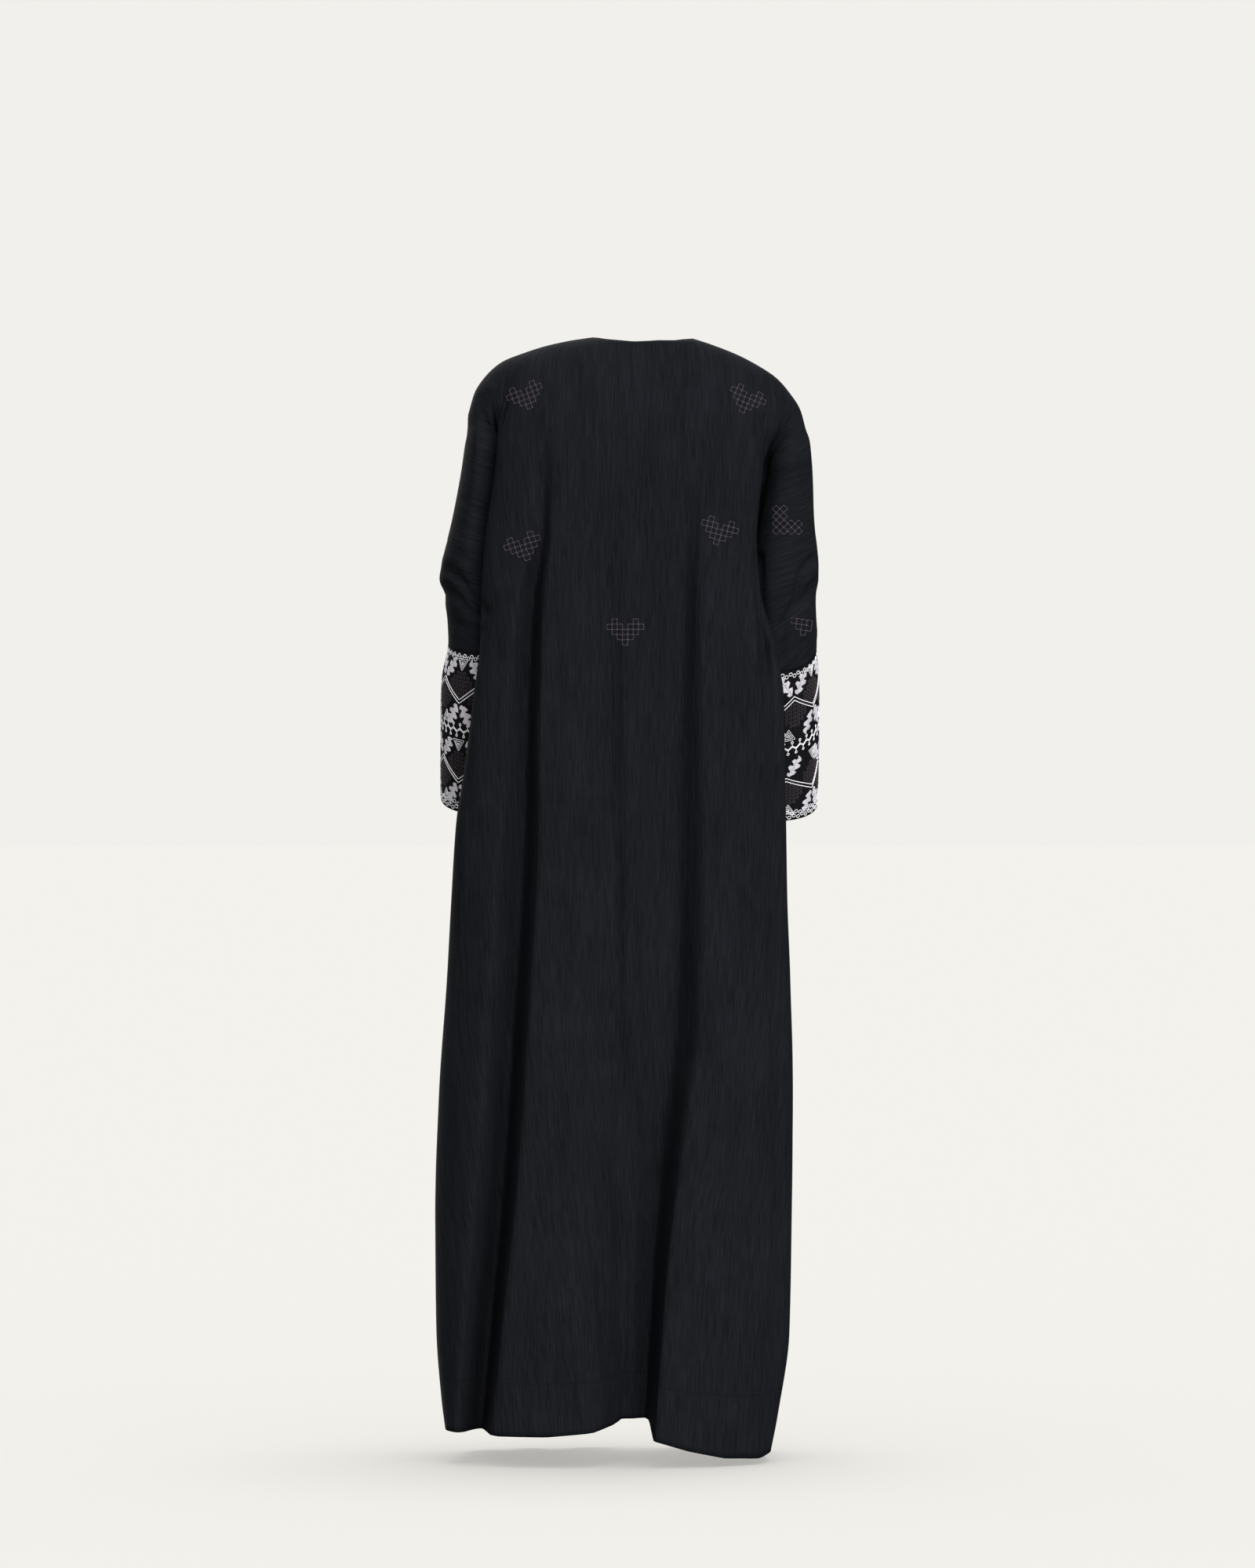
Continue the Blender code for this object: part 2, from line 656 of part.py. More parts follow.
def build_cuff(side, underarm):
    """A cuff, a closed band from its seam to the wrist."""
    cloth, faces = {}, []
    above = None
    count = sum(ARM_STRIPS)
    number = underarm + SLEEVE_ROWS
    seam = [("overarm", side, number)]
    seam += [("back", side, "arm", number, i) for i in range(1, count)]
    seam += [("inner", side, number)]
    seam += [("front_" + side, side, "arm", number, i) for i in range(count - 1, 0, -1)]
    for k in range(CUFF_ROWS + 1):
        z = CUFF_SEAM_Z[side] - CUFF_DROP[side] * k / CUFF_ROWS
        first_tilt, last_tilt = CUFF_TILT[side]
        slope = math.tan(first_tilt + (last_tilt - first_tilt) * k / CUFF_ROWS)
        ring = sleeve_ring(z, side, "back", slope, 1) + sleeve_ring(z, side, "front", slope, 1)[-2:0:-1]
        keys = list(seam) if k == 0 else [("cuff", side, k, i) for i in range(len(ring))]
        cloth.update(zip(keys, ring))
        keys.append(keys[0])
        if above:
            add_strip(faces, above, keys, side == "left")
        above = keys
    return cloth, faces


def make_mesh(name, cloth, faces, order):
    """An open sheet from named points."""
    numbers = {key: i for i, key in enumerate(order)}
    mesh = bpy.data.meshes.new(name)
    points = [tuple(cloth[key]) for key in order]
    mesh.from_pydata(points, [], [[numbers[key] for key in face] for face in faces])
    mesh.update()
    return mesh


def open_seams(pieces):
    """Draws every piece back from its seams, so that both faces of its wall clear the next piece."""
    normals, inward = {}, {}
    for name, (cloth, faces) in pieces.items():
        order = list(cloth)
        mesh = make_mesh("seam_check", cloth, faces, order)
        sheet = bmesh.new()
        sheet.from_mesh(mesh)
        sheet.verts.ensure_lookup_table()
        sheet.normal_update()
        for key, vertex in zip(order, sheet.verts):
            if sum(key in other[0] for other in pieces.values()) > 1:
                normals[name, key] = np.array(vertex.normal)
                ways = [np.array(edge.other_vert(vertex).co - vertex.co) for edge in vertex.link_edges]
                inward[name, key] = sum(way / np.linalg.norm(way) for way in ways)
        sheet.free()
        bpy.data.meshes.remove(mesh)
    moves = {}
    for name, key in normals:
        for other in pieces:
            if other != name and (other, key) in normals:
                across = inward[name, key] - inward[other, key]
                across /= np.linalg.norm(across)
                lean = abs(float(normals[name, key] @ across))
                move = across * (SEAM_GAP / 2 + LEAN_ALLOWANCE * WALL / 2 * lean)
                moves[name, key] = moves.get((name, key), 0.0) + move
    for (name, key), move in moves.items():
        pieces[name][0][key] = pieces[name][0][key] + move


def add_material(item, name):
    """The plain cloth of one piece."""
    material = bpy.data.materials.new(name)
    material.use_nodes = True
    shader = material.node_tree.nodes["Principled BSDF"]
    shader.inputs["Base Color"].default_value = (*COLOURS[name], 1)
    shader.inputs["Roughness"].default_value = 0.9
    shader.inputs["Metallic"].default_value = 0.0
    item.data.materials.append(material)


for old in list(bpy.data.objects):
    bpy.data.objects.remove(old)

collection = bpy.data.collections.new("abaya")
bpy.context.scene.collection.children.link(collection)

all_rows, underarm_row = row_heights()
all_pieces = {
    "back": build_back(all_rows, underarm_row),
    "front_left": build_front(all_rows, underarm_row, "left"),
    "front_right": build_front(all_rows, underarm_row, "right"),
    "cuff_left": build_cuff("left", underarm_row),
    "cuff_right": build_cuff("right", underarm_row),
}
open_seams(all_pieces)

for piece_name, (piece_cloth, piece_faces) in all_pieces.items():
    piece_mesh = make_mesh(piece_name, piece_cloth, piece_faces, list(piece_cloth))
    piece_object = bpy.data.objects.new(piece_name, piece_mesh)
    collection.objects.link(piece_object)
    piece_mesh.shade_smooth()
    thickness = piece_object.modifiers.new("wall", "SOLIDIFY")
    thickness.thickness = WALL
    thickness.offset = 0.0
    add_material(piece_object, piece_name)
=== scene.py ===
"""Looks of a black abaya with embroidered cuffs, kept in its worn form, seen from behind."""

import math
import random

import bpy
import numpy as np
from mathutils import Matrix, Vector
from mathutils.bvhtree import BVHTree


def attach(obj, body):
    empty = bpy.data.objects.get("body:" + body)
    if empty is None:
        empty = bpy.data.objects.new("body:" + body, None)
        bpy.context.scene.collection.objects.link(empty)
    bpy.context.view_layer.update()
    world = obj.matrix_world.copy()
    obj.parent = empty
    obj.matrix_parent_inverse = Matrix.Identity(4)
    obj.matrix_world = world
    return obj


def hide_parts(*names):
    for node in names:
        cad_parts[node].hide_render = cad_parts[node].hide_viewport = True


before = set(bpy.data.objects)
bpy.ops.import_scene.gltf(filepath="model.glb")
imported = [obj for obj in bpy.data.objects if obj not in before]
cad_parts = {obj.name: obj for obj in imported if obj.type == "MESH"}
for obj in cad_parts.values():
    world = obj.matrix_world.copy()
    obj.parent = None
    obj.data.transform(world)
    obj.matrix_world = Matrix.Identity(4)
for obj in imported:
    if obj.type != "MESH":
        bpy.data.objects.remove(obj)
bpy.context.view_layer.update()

# The camera
# It looks level at the back from far off, so the outline hardly narrows with distance.
METRES_PER_PIXEL = 0.00105
PHOTO_HEIGHT = 1999
FILM_WIDTH = 36
CAMERA_DISTANCE = 9.0
BACK_PLANE_Y = 0.10
VIEW_CENTRE = {"x": 0.021, "z": -0.596}


def add_object(name, data):
    """A new object in the scene."""
    made = bpy.data.objects.new(name, data)
    bpy.context.scene.collection.objects.link(made)
    return made


camera_data = bpy.data.cameras.new("camera")
camera_data.sensor_width = FILM_WIDTH
camera_data.lens = FILM_WIDTH * CAMERA_DISTANCE / (PHOTO_HEIGHT * METRES_PER_PIXEL)
camera = add_object("camera", camera_data)
camera.location = (VIEW_CENTRE["x"], BACK_PLANE_Y + CAMERA_DISTANCE, VIEW_CENTRE["z"])
camera.rotation_euler = (math.radians(90), 0, math.radians(180))
bpy.context.scene.camera = camera

# The back
# Gauzy black crepe, cut in one with the back halves of both sleeves, seamed to the fronts and hemmed.
# It hangs from the shoulders in deep soft folds, in one worn form with the fronts and the cuffs.
# The tables give level sections of that form in millimetres, with x counted away from the middle.
MM = 0.001
SIGN = {"left": 1.0, "right": -1.0}
FACING = {"back": 1.0, "front": -1.0}
UNDERARM_Z = -0.340
CUFF_SEAM_Z = {"left": -0.406, "right": -0.410}
CUFF_DROP = {"left": 0.208, "right": 0.212}
CUFF_TILT = {"left": (math.radians(14), math.radians(21)), "right": (math.radians(31), math.radians(22))}
HEM_Z = -1.470
HEM_SETTLES_FROM = -1.200
YOKE_FADES = (-0.085, -0.172)
LOBE_SHARE = 0.42
DOME_WIDTH_POWER = 0.9
DOME_DEPTH_POWER = 0.85
DOME_FALL_POWER = 1.5
TUBE_POWER = 0.92
CLEFT_ROUND = 0.0045
CLEFT_LIP = (0.016, 0.020)
CLEFT_RISE = {"back": 0.066, "front": 0.034}
CLEFT_HEIGHT = 0.245
OVERARM = (0.11, 0.66)
LOBE_RUNS_ON = (0.006, 0.024)
BACK_FULLNESS = (2.5, 0.42)
BACK_FOLDS_FADE = 0.05
GUIDE_GAP = 0.012
SIDE_GAP = 0.008
CROWN_SHARE = {"left": 0.36, "right": 0.44}
ARM_BACK_SHARE = {"left": (0.62, 0.80), "right": (0.74, 0.93)}
ARM_WALL_SHARE = {"left": (0.86, 0.42), "right": (0.94, 0.52)}
FRONT_HEM_RISE = 0.004
HEM_SEAM_Y = -0.034
FRONT_LEVEL_Y = -0.120

YOKE = (
    ("z", "left_x", "left_z", "right_x", "right_z", "back_y", "edge_x", "edge_y", "edge_z"),
    (0, 68, 8, 68, 6, 56, 46, -82, -70),
    (-14, 100, 3, 98, -4, 71, 43, -91, -84),
    (-28, 132, -4, 128, -16, 84, 40, -98, -98),
    (-43, 160, -13, 156, -31, 95, 37, -104, -112),
    (-60, 190, -25, 180, -47, 104, 34, -108, -126),
    (-78, 213, -45, 197, -66, 111, 31, -112, -140),
    (-99, 228, -68, 212, -89, 117, 29, -115, -154),
    (-122, 236, -97, 219, -114, 122, 27, -117, -168),
)
YOKE_FOOT_Z = YOKE[-1][0] * MM
SLEEVE = (
    ("z", "left_outer", "right_outer", "seam_y", "depth", "left_inner", "right_inner"),
    (-25, 190, 160, 0, 60, 190, 176),
    (-45, 213, 180, 0, 64, 190, 176),
    (-68, 228, 199, 0, 67, 190, 176),
    (-89, 234, 212, 0, 68, 190, 176),
    (-97, 236, 215, 0, 68, 190, 176),
    (-114, 237, 219, 0, 68, 190, 176),
    (-134, 240, 225, 0, 67, 189, 174),
    (-176, 246, 229, 1, 65, 185, 168),
    (-239, 258, 231, 2, 62, 180, 156),
    (-304, 273, 237, 1, 61, 174, 142),
    (-318, 275, 237, 0, 61, 172, 139),
    (-340, 267, 234, -3, 61, 169, 135),
    (-360, 262, 235, -7, 60, 166, 131),
    (-386, 263, 236, -13, 60, 162, 125),
    (-414, 264, 235, -20, 60, 157, 118),
    (-430, 268, 236, -24, 60, 155, 117),
    (-449, 272, 238, -28, 60, 155, 117),
    (-491, 274, 239, -39, 60, 156, 118),
    (-607, 275, 238, -67, 60, 157, 119),
    (-640, 271, 236, -75, 60, 157, 119),
)
BODY = (
    ("z", "left_lobe", "right_lobe", "lobe_y", "back_y", "left_notch", "right_notch", "notch_y",
     "front_left_lobe", "front_right_lobe", "front_lobe_y", "front_y", "edge_x"),
    (-122, 194, 166, 70, 122, 186, 170, 30, 176, 150, -62, -117, 27),
    (-176, 198, 160, 73, 126, 176, 158, 22, 172, 146, -66, -121, 26),
    (-271, 212, 152, 76, 127, 172, 144, 0, 168, 134, -70, -124, 25),
    (-340, 217, 157, 78, 126, 164, 130, -14, 168, 128, -74, -126, 26),
    (-402, 218, 174, 77, 124, 148, 112, -19, 168, 124, -82, -129, 27),
    (-481, 228, 188, 73, 122, 142, 104, -36, 166, 122, -104, -136, 29),
    (-578, 240, 190, 65, 122, 142, 104, -57, 168, 124, -124, -148, 31),
    (-649, 251, 192, 57, 123, 150, 114, -67, 176, 130, -138, -157, 33),
    (-754, 258, 194, 44, 125, 190, 146, -62, 214, 156, -124, -156, 35),
    (-859, 264, 198, 34, 128, 226, 170, -50, 236, 172, -100, -155, 37),
    (-1016, 275, 201, 26, 132, 252, 184, -38, 248, 184, -80, -154, 39),
    (-1184, 280, 200, 24, 137, 262, 188, -34, 252, 188, -74, -152, 40),
    (-1331, 278, 197, 28, 141, 262, 186, -34, 250, 186, -72, -151, 40),
    (-1430, 271, 181, 32, 144, 256, 176, -34, 246, 178, -72, -150, 40),
    (-1480, 265, 169, 34, 145, 250, 168, -34, 242, 170, -70, -150, 40),
)
FOLD_COLUMNS = ("z", "x", "depth", "spread_left", "spread_right")
BACK_FOLDS = {
    "left_deep": (
        FOLD_COLUMNS,
        (-90, 130, 0, 26, 22),
        (-170, 133, 6, 24, 18),
        (-260, 134, 16, 20, 14),
        (-344, 147, 28, 24, 17),
        (-512, 156, 38, 32, 21),
        (-701, 162, 46, 36, 24),
        (-911, 175, 56, 38, 25),
        (-1121, 188, 70, 40, 24),
        (-1331, 206, 82, 40, 19),
        (-1480, 219, 84, 36, 16),
    ),
    "middle": (
        FOLD_COLUMNS,
        (-200, 54, 0, 40, 26),
        (-300, 52, 6, 46, 28),
        (-512, 46, 11, 54, 28),
        (-701, 40, 17, 60, 27),
        (-1100, 36, 20, 58, 27),
        (-1300, 35, 22, 56, 26),
        (-1480, 32, 22, 50, 22),
    ),
    "right_soft": (
        FOLD_COLUMNS,
        (-180, -64, 0, 40, 24),
        (-260, -59, 10, 50, 24),
        (-344, -54, 20, 62, 26),
        (-512, -46, 28, 78, 38),
        (-701, -43, 37, 88, 44),
        (-911, -41, 46, 92, 40),
        (-1016, -29, 56, 92, 38),
        (-1121, -21, 67, 90, 30),
        (-1226, -14, 76, 86, 23),
        (-1480, 0, 84, 76, 17),
    ),
    "right_panel": (
        FOLD_COLUMNS,
        (-240, -118, 0, 26, 26),
        (-400, -128, 4, 26, 26),
        (-1480, -130, 5, 26, 24),
    ),
    "right_side": (
        FOLD_COLUMNS,
        (-370, -160, 0, 12, 12),
        (-440, -166, 7, 14, 12),
        (-640, -172, 8, 14, 12),
        (-1016, -180, 8, 14, 12),
        (-1300, -182, 8, 14, 12),
        (-1480, -166, 7, 12, 10),
    ),
}
# The x and the rise of each corner of the back's hem
BACK_HEM = (
    (-200, -17), (-176, -23), (-157, -30), (-110, -27), (-60, -16), (-14, -2),
    (-8, 22), (30, 21), (36, 16), (66, 9), (130, 3), (196, 3), (206, 5), (240, 4), (275, 6),
)

prepared = {}


def prepare(table):
    """A table's heights and, for each column, its values and slopes, in metres."""
    if id(table) in prepared:
        return prepared[id(table)]
    rows = sorted(table[1:])
    heights = np.array([row[0] for row in rows]) * MM
    columns = {}
    for number, name in enumerate(table[0]):
        values = np.array([row[number] for row in rows]) * MM
        slopes = np.diff(values) / np.diff(heights)
        tangents = np.empty(len(values))
        tangents[0], tangents[-1] = slopes[0], slopes[-1]
        before, after = slopes[:-1], slopes[1:]
        same = before * after > 0
        tangents[1:-1] = np.where(same, 2 * before * after / np.where(same, before + after, 1), 0)
        columns[name] = (values, tangents)
    prepared[id(table)] = (heights, columns)
    return prepared[id(table)]


def read(table, name, z):
    """The named column of a table at height z, smooth between its rows. z and the result are in metres."""
    heights, columns = prepare(table)
    values, tangents = columns[name]
    if z <= heights[0]:
        return values[0]
    if z >= heights[-1]:
        return values[-1]
    i = int(np.searchsorted(heights, z)) - 1
    i = max(0, min(i, len(heights) - 2))
    span = heights[i + 1] - heights[i]
    t = (z - heights[i]) / span
    return ((1 + 2 * t) * (1 - t) ** 2 * values[i] + t * (1 - t) ** 2 * span * tangents[i]
            + t * t * (3 - 2 * t) * values[i + 1] + t * t * (t - 1) * span * tangents[i + 1])


def ease(low, high, value):
    """Rises smoothly from 0 at low to 1 at high."""
    t = np.clip((value - low) / (high - low), 0, 1)
    return t * t * (3 - 2 * t)


def row_at(z):
    """The heights of the row that crosses the centre back at z."""
    names = {"left": "left_z", "right": "right_z", "front": "edge_z"}
    row = {side: read(YOKE, name, z) for side, name in names.items()}
    if z < YOKE_FOOT_Z:
        keep = float(ease(UNDERARM_Z, YOKE_FOOT_Z, z))
        row = {side: z + (end - YOKE_FOOT_Z) * keep for side, end in row.items()}
    return {**row, "back": z}


def below_yoke(row):
    """How far a row has left the yoke's rounded form, from 0 to 1. It is the same on every piece."""
    return ease(*YOKE_FADES, row["back"])


def dome(row, side, face, u):
    """Points of the yoke's rounded form, from the shoulder seam (u = 0) to the middle (u = 1)."""
    angle = np.asarray(u, dtype=float) * math.pi / 2
    z = row["back"]
    if z >= YOKE_FOOT_Z:
        outer = read(YOKE, side + "_x", z)
        seam_y = 0.0
        middle_y = read(YOKE, "back_y" if face == "back" else "edge_y", z)
        edge_x = read(YOKE, "edge_x", z)
    else:
        outer = read(SLEEVE, side + "_outer", row[side])
        seam_y = read(SLEEVE, "seam_y", row[side])
        middle_y = read(BODY, face + "_y", row[face])
        edge_x = read(BODY, "edge_x", row[face])
    middle_x = 0.0 if face == "back" else edge_x
    across = np.sin(angle)
    x = middle_x + (outer - middle_x) * np.clip(np.cos(angle), 0, 1) ** DOME_WIDTH_POWER
    y = seam_y + (middle_y - seam_y) * across ** DOME_DEPTH_POWER
    height = row[side] + (row[face] - row[side]) * across ** DOME_FALL_POWER
    return np.stack((x, y, height), axis=-1)


def curve_through(points, counts, before, after):
    """A smooth curve through points, with a given number of strips between each two."""
    pts = [np.array(p, dtype=float) for p in points]
    ends = [np.array(before)] + pts + [np.array(after)]
    result = [pts[0][None, :]]
    for i, count in enumerate(counts):
        p0, p1, p2, p3 = ends[i:i + 4]
        t1 = max(1e-6, np.linalg.norm(p1 - p0)) ** 0.5
        t2 = t1 + max(1e-6, np.linalg.norm(p2 - p1)) ** 0.5
        t3 = t2 + max(1e-6, np.linalg.norm(p3 - p2)) ** 0.5
        t = (t1 + (t2 - t1) * np.arange(1, count + 1) / count)[:, None]
        a1 = (t1 - t) / t1 * p0 + t / t1 * p1
        a2 = (t2 - t) / (t2 - t1) * p1 + (t - t1) / (t2 - t1) * p2
        a3 = (t3 - t) / (t3 - t2) * p2 + (t - t2) / (t3 - t2) * p3
        b1 = (t2 - t) / t2 * a1 + t / t2 * a2
        b2 = (t3 - t) / (t3 - t1) * a2 + (t - t1) / (t3 - t1) * a3
        result.append((t2 - t) / (t2 - t1) * b1 + (t - t1) / (t2 - t1) * b2)
    return np.concatenate(result)


ARM_STRIPS = (8, 8, 4, 4, 4, 4)
WALL_STRIPS = (4, 4, 4, 4)
BACK_STRIPS = (16, 16, 12, 20, 12, 16, 12, 16, 8, 8)
YOKE_ROWS = 28
UPPER_ROWS = 50
SKIRT_ROWS = 150
SLEEVE_ROWS = 16
SKIRT_SPREAD = 1.12
ARM_COUNT = sum(ARM_STRIPS)
SIDE_COUNT = ARM_COUNT + sum(WALL_STRIPS)
ROW_HEIGHTS = np.concatenate((
    np.linspace(0, YOKE_FOOT_Z, YOKE_ROWS, endpoint=False),
    np.linspace(YOKE_FOOT_Z, UNDERARM_Z, UPPER_ROWS, endpoint=False),
    UNDERARM_Z + (HEM_Z - UNDERARM_Z) * (np.arange(SKIRT_ROWS + 1) / SKIRT_ROWS) ** SKIRT_SPREAD,
))


def cleft_bottom(z, side, face):
    """The bottom of the deep fold between sleeve and body, which reaches the underarm."""
    x = read(SLEEVE, side + "_inner", z) - CLEFT_ROUND
    above = max(0.0, z - UNDERARM_Z)
    lip, reach = CLEFT_LIP
    rise = lip * (1 - math.exp(-above / reach)) + CLEFT_RISE[face] * min(1.0, above / CLEFT_HEIGHT) ** 2.5
    return x, read(BODY, "notch_y", UNDERARM_Z) + FACING[face] * rise


def sleeve_sizes(z, side):
    """The sleeve's outer and inner x, the y of its seam and its depth at height z."""
    return [read(SLEEVE, name, z) for name in (side + "_outer", side + "_inner", "seam_y", "depth")]


def arm_section(z, side, face):
    """The sleeve above the underarm, from its overarm seam to the bottom of the fold beside the body."""
    facing = FACING[face]
    outer, inner, seam_y, depth = sleeve_sizes(z, side)
    bottom_x, bottom_y = cleft_bottom(z, side, face)
    width = outer - inner
    over_x = outer - OVERARM[0] * width
    over_y = facing * OVERARM[1] * depth
    crown_y = seam_y + facing * depth
    back_share, back_rise = ARM_BACK_SHARE[side]
    wall_share, wall_rise = ARM_WALL_SHARE[side]
    keys = [
        (outer, seam_y),
        (over_x, seam_y + over_y),
        (outer - CROWN_SHARE[side] * width, crown_y),
        (outer - back_share * width, bottom_y + back_rise * (crown_y - bottom_y)),
        (outer - wall_share * width, bottom_y + wall_rise * (crown_y - bottom_y)),
        (inner, bottom_y + facing * CLEFT_ROUND),
        (bottom_x, bottom_y),
    ]
    after = wall_section(z, side, face, False)[WALL_STRIPS[0]]
    return curve_through(keys, ARM_STRIPS, (over_x, seam_y - over_y), after)


def wall_section(z, side, face, split):
    """The body's own wall beside the arm, from the fold's bottom or the side seam out to the lobe."""
    facing = FACING[face]
    lobe_x = read(BODY, side + "_lobe" if face == "back" else f"front_{side}_lobe", z)
    lobe_y = read(BODY, "lobe_y" if face == "back" else "front_lobe_y", z)
    if split:
        x, y = read(BODY, side + "_notch", z), read(BODY, "notch_y", z)
        shares = ((0.05, 0.30), (0.40, 0.62), (0.86, 0.84), (1, 1))
        keys = [(x, y)] + [(x + across * (lobe_x - x), y + out * (lobe_y - y)) for across, out in shares]
        before = (keys[1][0], 2 * y - keys[1][1])
    else:
        x, y = cleft_bottom(z, side, face)
        mouth_x, mouth_y = x - CLEFT_ROUND, y + facing * CLEFT_ROUND
        shares = ((0.40, 0.50), (0.82, 0.80), (1, 1))
        keys = [(x, y), (mouth_x, mouth_y)]
        keys += [(mouth_x + across * (lobe_x - mouth_x), y + out * (lobe_y - y)) for across, out in shares]
        before = (x + CLEFT_ROUND, mouth_y)
    after = (lobe_x - LOBE_RUNS_ON[0], lobe_y + facing * LOBE_RUNS_ON[1])
    return curve_through(keys, WALL_STRIPS, before, after)


def fold_depth(folds, x, z):
    """How far the cloth is drawn in at each x by all the folds that cross height z."""
    total = np.zeros_like(x)
    for table in folds.values():
        centre = read(table, "x", z)
        spread = np.where(x > centre, read(table, "spread_left", z), read(table, "spread_right", z))
        t = np.clip(np.abs(x - centre) / spread, 0, 1)
        total += read(table, "depth", z) * (1 + np.cos(math.pi * t)) / 2
    return total


def back_places(z):
    """The columns across the body's back, set close where its folds run, from +x to -x."""
    left = read(BODY, "left_lobe", z)
    right = -read(BODY, "right_lobe", z)

    def beside(name, way):
        table = BACK_FOLDS[name]
        reach = {1: 0.9 * read(table, "spread_left", z), 0: 0.0, -1: -0.95 * read(table, "spread_right", z)}
        return read(table, "x", z) + reach[way]

    guides = [
        left,
        min(beside("left_deep", 1), left - GUIDE_GAP), beside("left_deep", 0), beside("left_deep", -1),
        beside("middle", 0),
        min(beside("right_soft", 1), beside("middle", 0) - GUIDE_GAP), beside("right_soft", 0),
        beside("right_soft", -1),
        beside("right_panel", 0),
        max(beside("right_side", 0), right + SIDE_GAP),
        right,
    ]
    places = [np.array([left])]
    for i, count in enumerate(BACK_STRIPS):
        share = np.arange(1, count + 1) / count
        if i == 0:
            share = 1 - np.cos(share * math.pi / 2)
        if i == len(BACK_STRIPS) - 1:
            share = np.sin(share * math.pi / 2)
        places.append(guides[i] + (guides[i + 1] - guides[i]) * share)
    return np.concatenate(places)


def back_surface(x, z):
    """The body's back at each x, with its folds."""
    left = read(BODY, "left_lobe", z)
    right = -read(BODY, "right_lobe", z)
    across = np.clip(np.abs(2 * x - left - right) / (left - right), 0, 1)
    lobe_y = read(BODY, "lobe_y", z)
    crown = np.clip(1 - across ** BACK_FULLNESS[0], 0, 1) ** BACK_FULLNESS[1]
    full = lobe_y + (read(BODY, "back_y", z) - lobe_y) * crown
    return full - fold_depth(BACK_FOLDS, x, z) * np.clip((1 - across) / BACK_FOLDS_FADE, 0, 1)


def settle(points, face):
    """Takes up the hem's rise over the lowest part of the skirt. A front meets the back at its side seam."""
    z = points[:, 2]
    low = np.clip((z - HEM_SETTLES_FROM) / (HEM_Z - HEM_SETTLES_FROM), 0, None) ** 2
    places, rises = np.array(BACK_HEM).T * MM
    rise = np.interp(points[:, 0], places, rises)
    if face == "front":
        near = ease(FRONT_LEVEL_Y, HEM_SEAM_Y, points[:, 1])
        rise = FRONT_HEM_RISE + (rise - FRONT_HEM_RISE) * near
    points[:, 2] = z + rise * low
    return points


def body_wall(row, face, side, split):
    """One row of the body's wall on one side, from the fold or side seam to the lobe."""
    flat = wall_section(row[face], side, face, split)
    points = dome(row, side, face, LOBE_SHARE * (ARM_COUNT + np.arange(len(flat))) / SIDE_COUNT)
    points[:, :2] += (flat - points[:, :2]) * below_yoke(row)
    points[:, 0] *= SIGN[side]
    return settle(points, face)


def arm_row(row, face, side):
    """One row of a sleeve above the underarm, from its overarm seam to the fold."""
    flat = arm_section(row[side], side, face)
    points = dome(row, side, face, LOBE_SHARE * np.arange(len(flat)) / SIDE_COUNT)
    points[:, :2] += (flat - points[:, :2]) * below_yoke(row)
    points[:, 0] *= SIGN[side]
    return points


def sleeve_ring(z, side, face, slope, tube_share):
    """Half a ring of the sleeve or cuff below the underarm, from the overarm seam to the inner seam."""
    outer, inner, seam_y, depth = sleeve_sizes(z, side)
    shaped = arm_section(UNDERARM_Z, side, face)
    angle = math.pi * np.arange(len(shaped)) / (len(shaped) - 1)
    cosine = np.cos(angle)
    tube_x = (outer + inner) / 2 + (outer - inner) / 2 * np.sign(cosine) * np.abs(cosine) ** TUBE_POWER
    tube_y = seam_y + FACING[face] * depth * np.clip(np.sin(angle), 0, 1) ** TUBE_POWER
    x = shaped[:, 0] + (tube_x - shaped[:, 0]) * tube_share
    y = shaped[:, 1] - read(SLEEVE, "seam_y", UNDERARM_Z) + seam_y
    y += (tube_y - y) * tube_share
    height = z - (y - seam_y) * slope
    return np.stack((x * SIGN[side], y, height), axis=-1)


class Sheet:
    """Rows of points that become one sheet of cloth, with the cloth's own flat coordinates."""

    def __init__(self, closed=False):
        self.points, self.flat, self.faces, self.count = [], [], [], 0
        self.closed, self.above = closed, None

    def add_row(self, points, flat, flip):
        """Adds a row and joins it to the one above, with the faces turned over where flip says so."""
        keys = np.arange(self.count, self.count + len(points))
        self.points.append(points)
        self.flat.append(flat)
        self.count += len(points)
        if self.closed:
            keys = np.append(keys, keys[0])
        if self.above is not None:
            quads = np.stack((self.above[:-1], self.above[1:], keys[1:], keys[:-1]), axis=-1)
            self.faces.append(quads[:, ::-1] if flip else quads)
        self.above = keys


def travelled(points):
    """How far along a line of points each one lies from the first."""
    return np.concatenate(([0], np.cumsum(np.linalg.norm(np.diff(points, axis=0), axis=1))))


SEAM_HEIGHTS = np.linspace(0, UNDERARM_Z, 120)
SEAM_LENGTH = {}
for side in SIGN:
    seam = np.array([dome(row_at(z), side, "back", 0.0) for z in SEAM_HEIGHTS])
    SEAM_LENGTH[side] = (SEAM_HEIGHTS[::-1], (seam[0][0] + travelled(seam))[::-1])
CRINKLE_SLANT = 0.35
SLEEVE_CRINKLE_FROM = (-0.02, -0.16)
NEAR_MIDDLE = 0.06


def arm_flat(points, z, side):
    """The sleeve's flat coordinates: the crinkle runs across the arm and a little down it."""
    inward = travelled(points)
    down_arm = np.interp(z, *SEAM_LENGTH[side]) + max(0.0, UNDERARM_Z - z)
    return np.stack((SIGN[side] * (down_arm - CRINKLE_SLANT * inward), -inward), axis=-1)


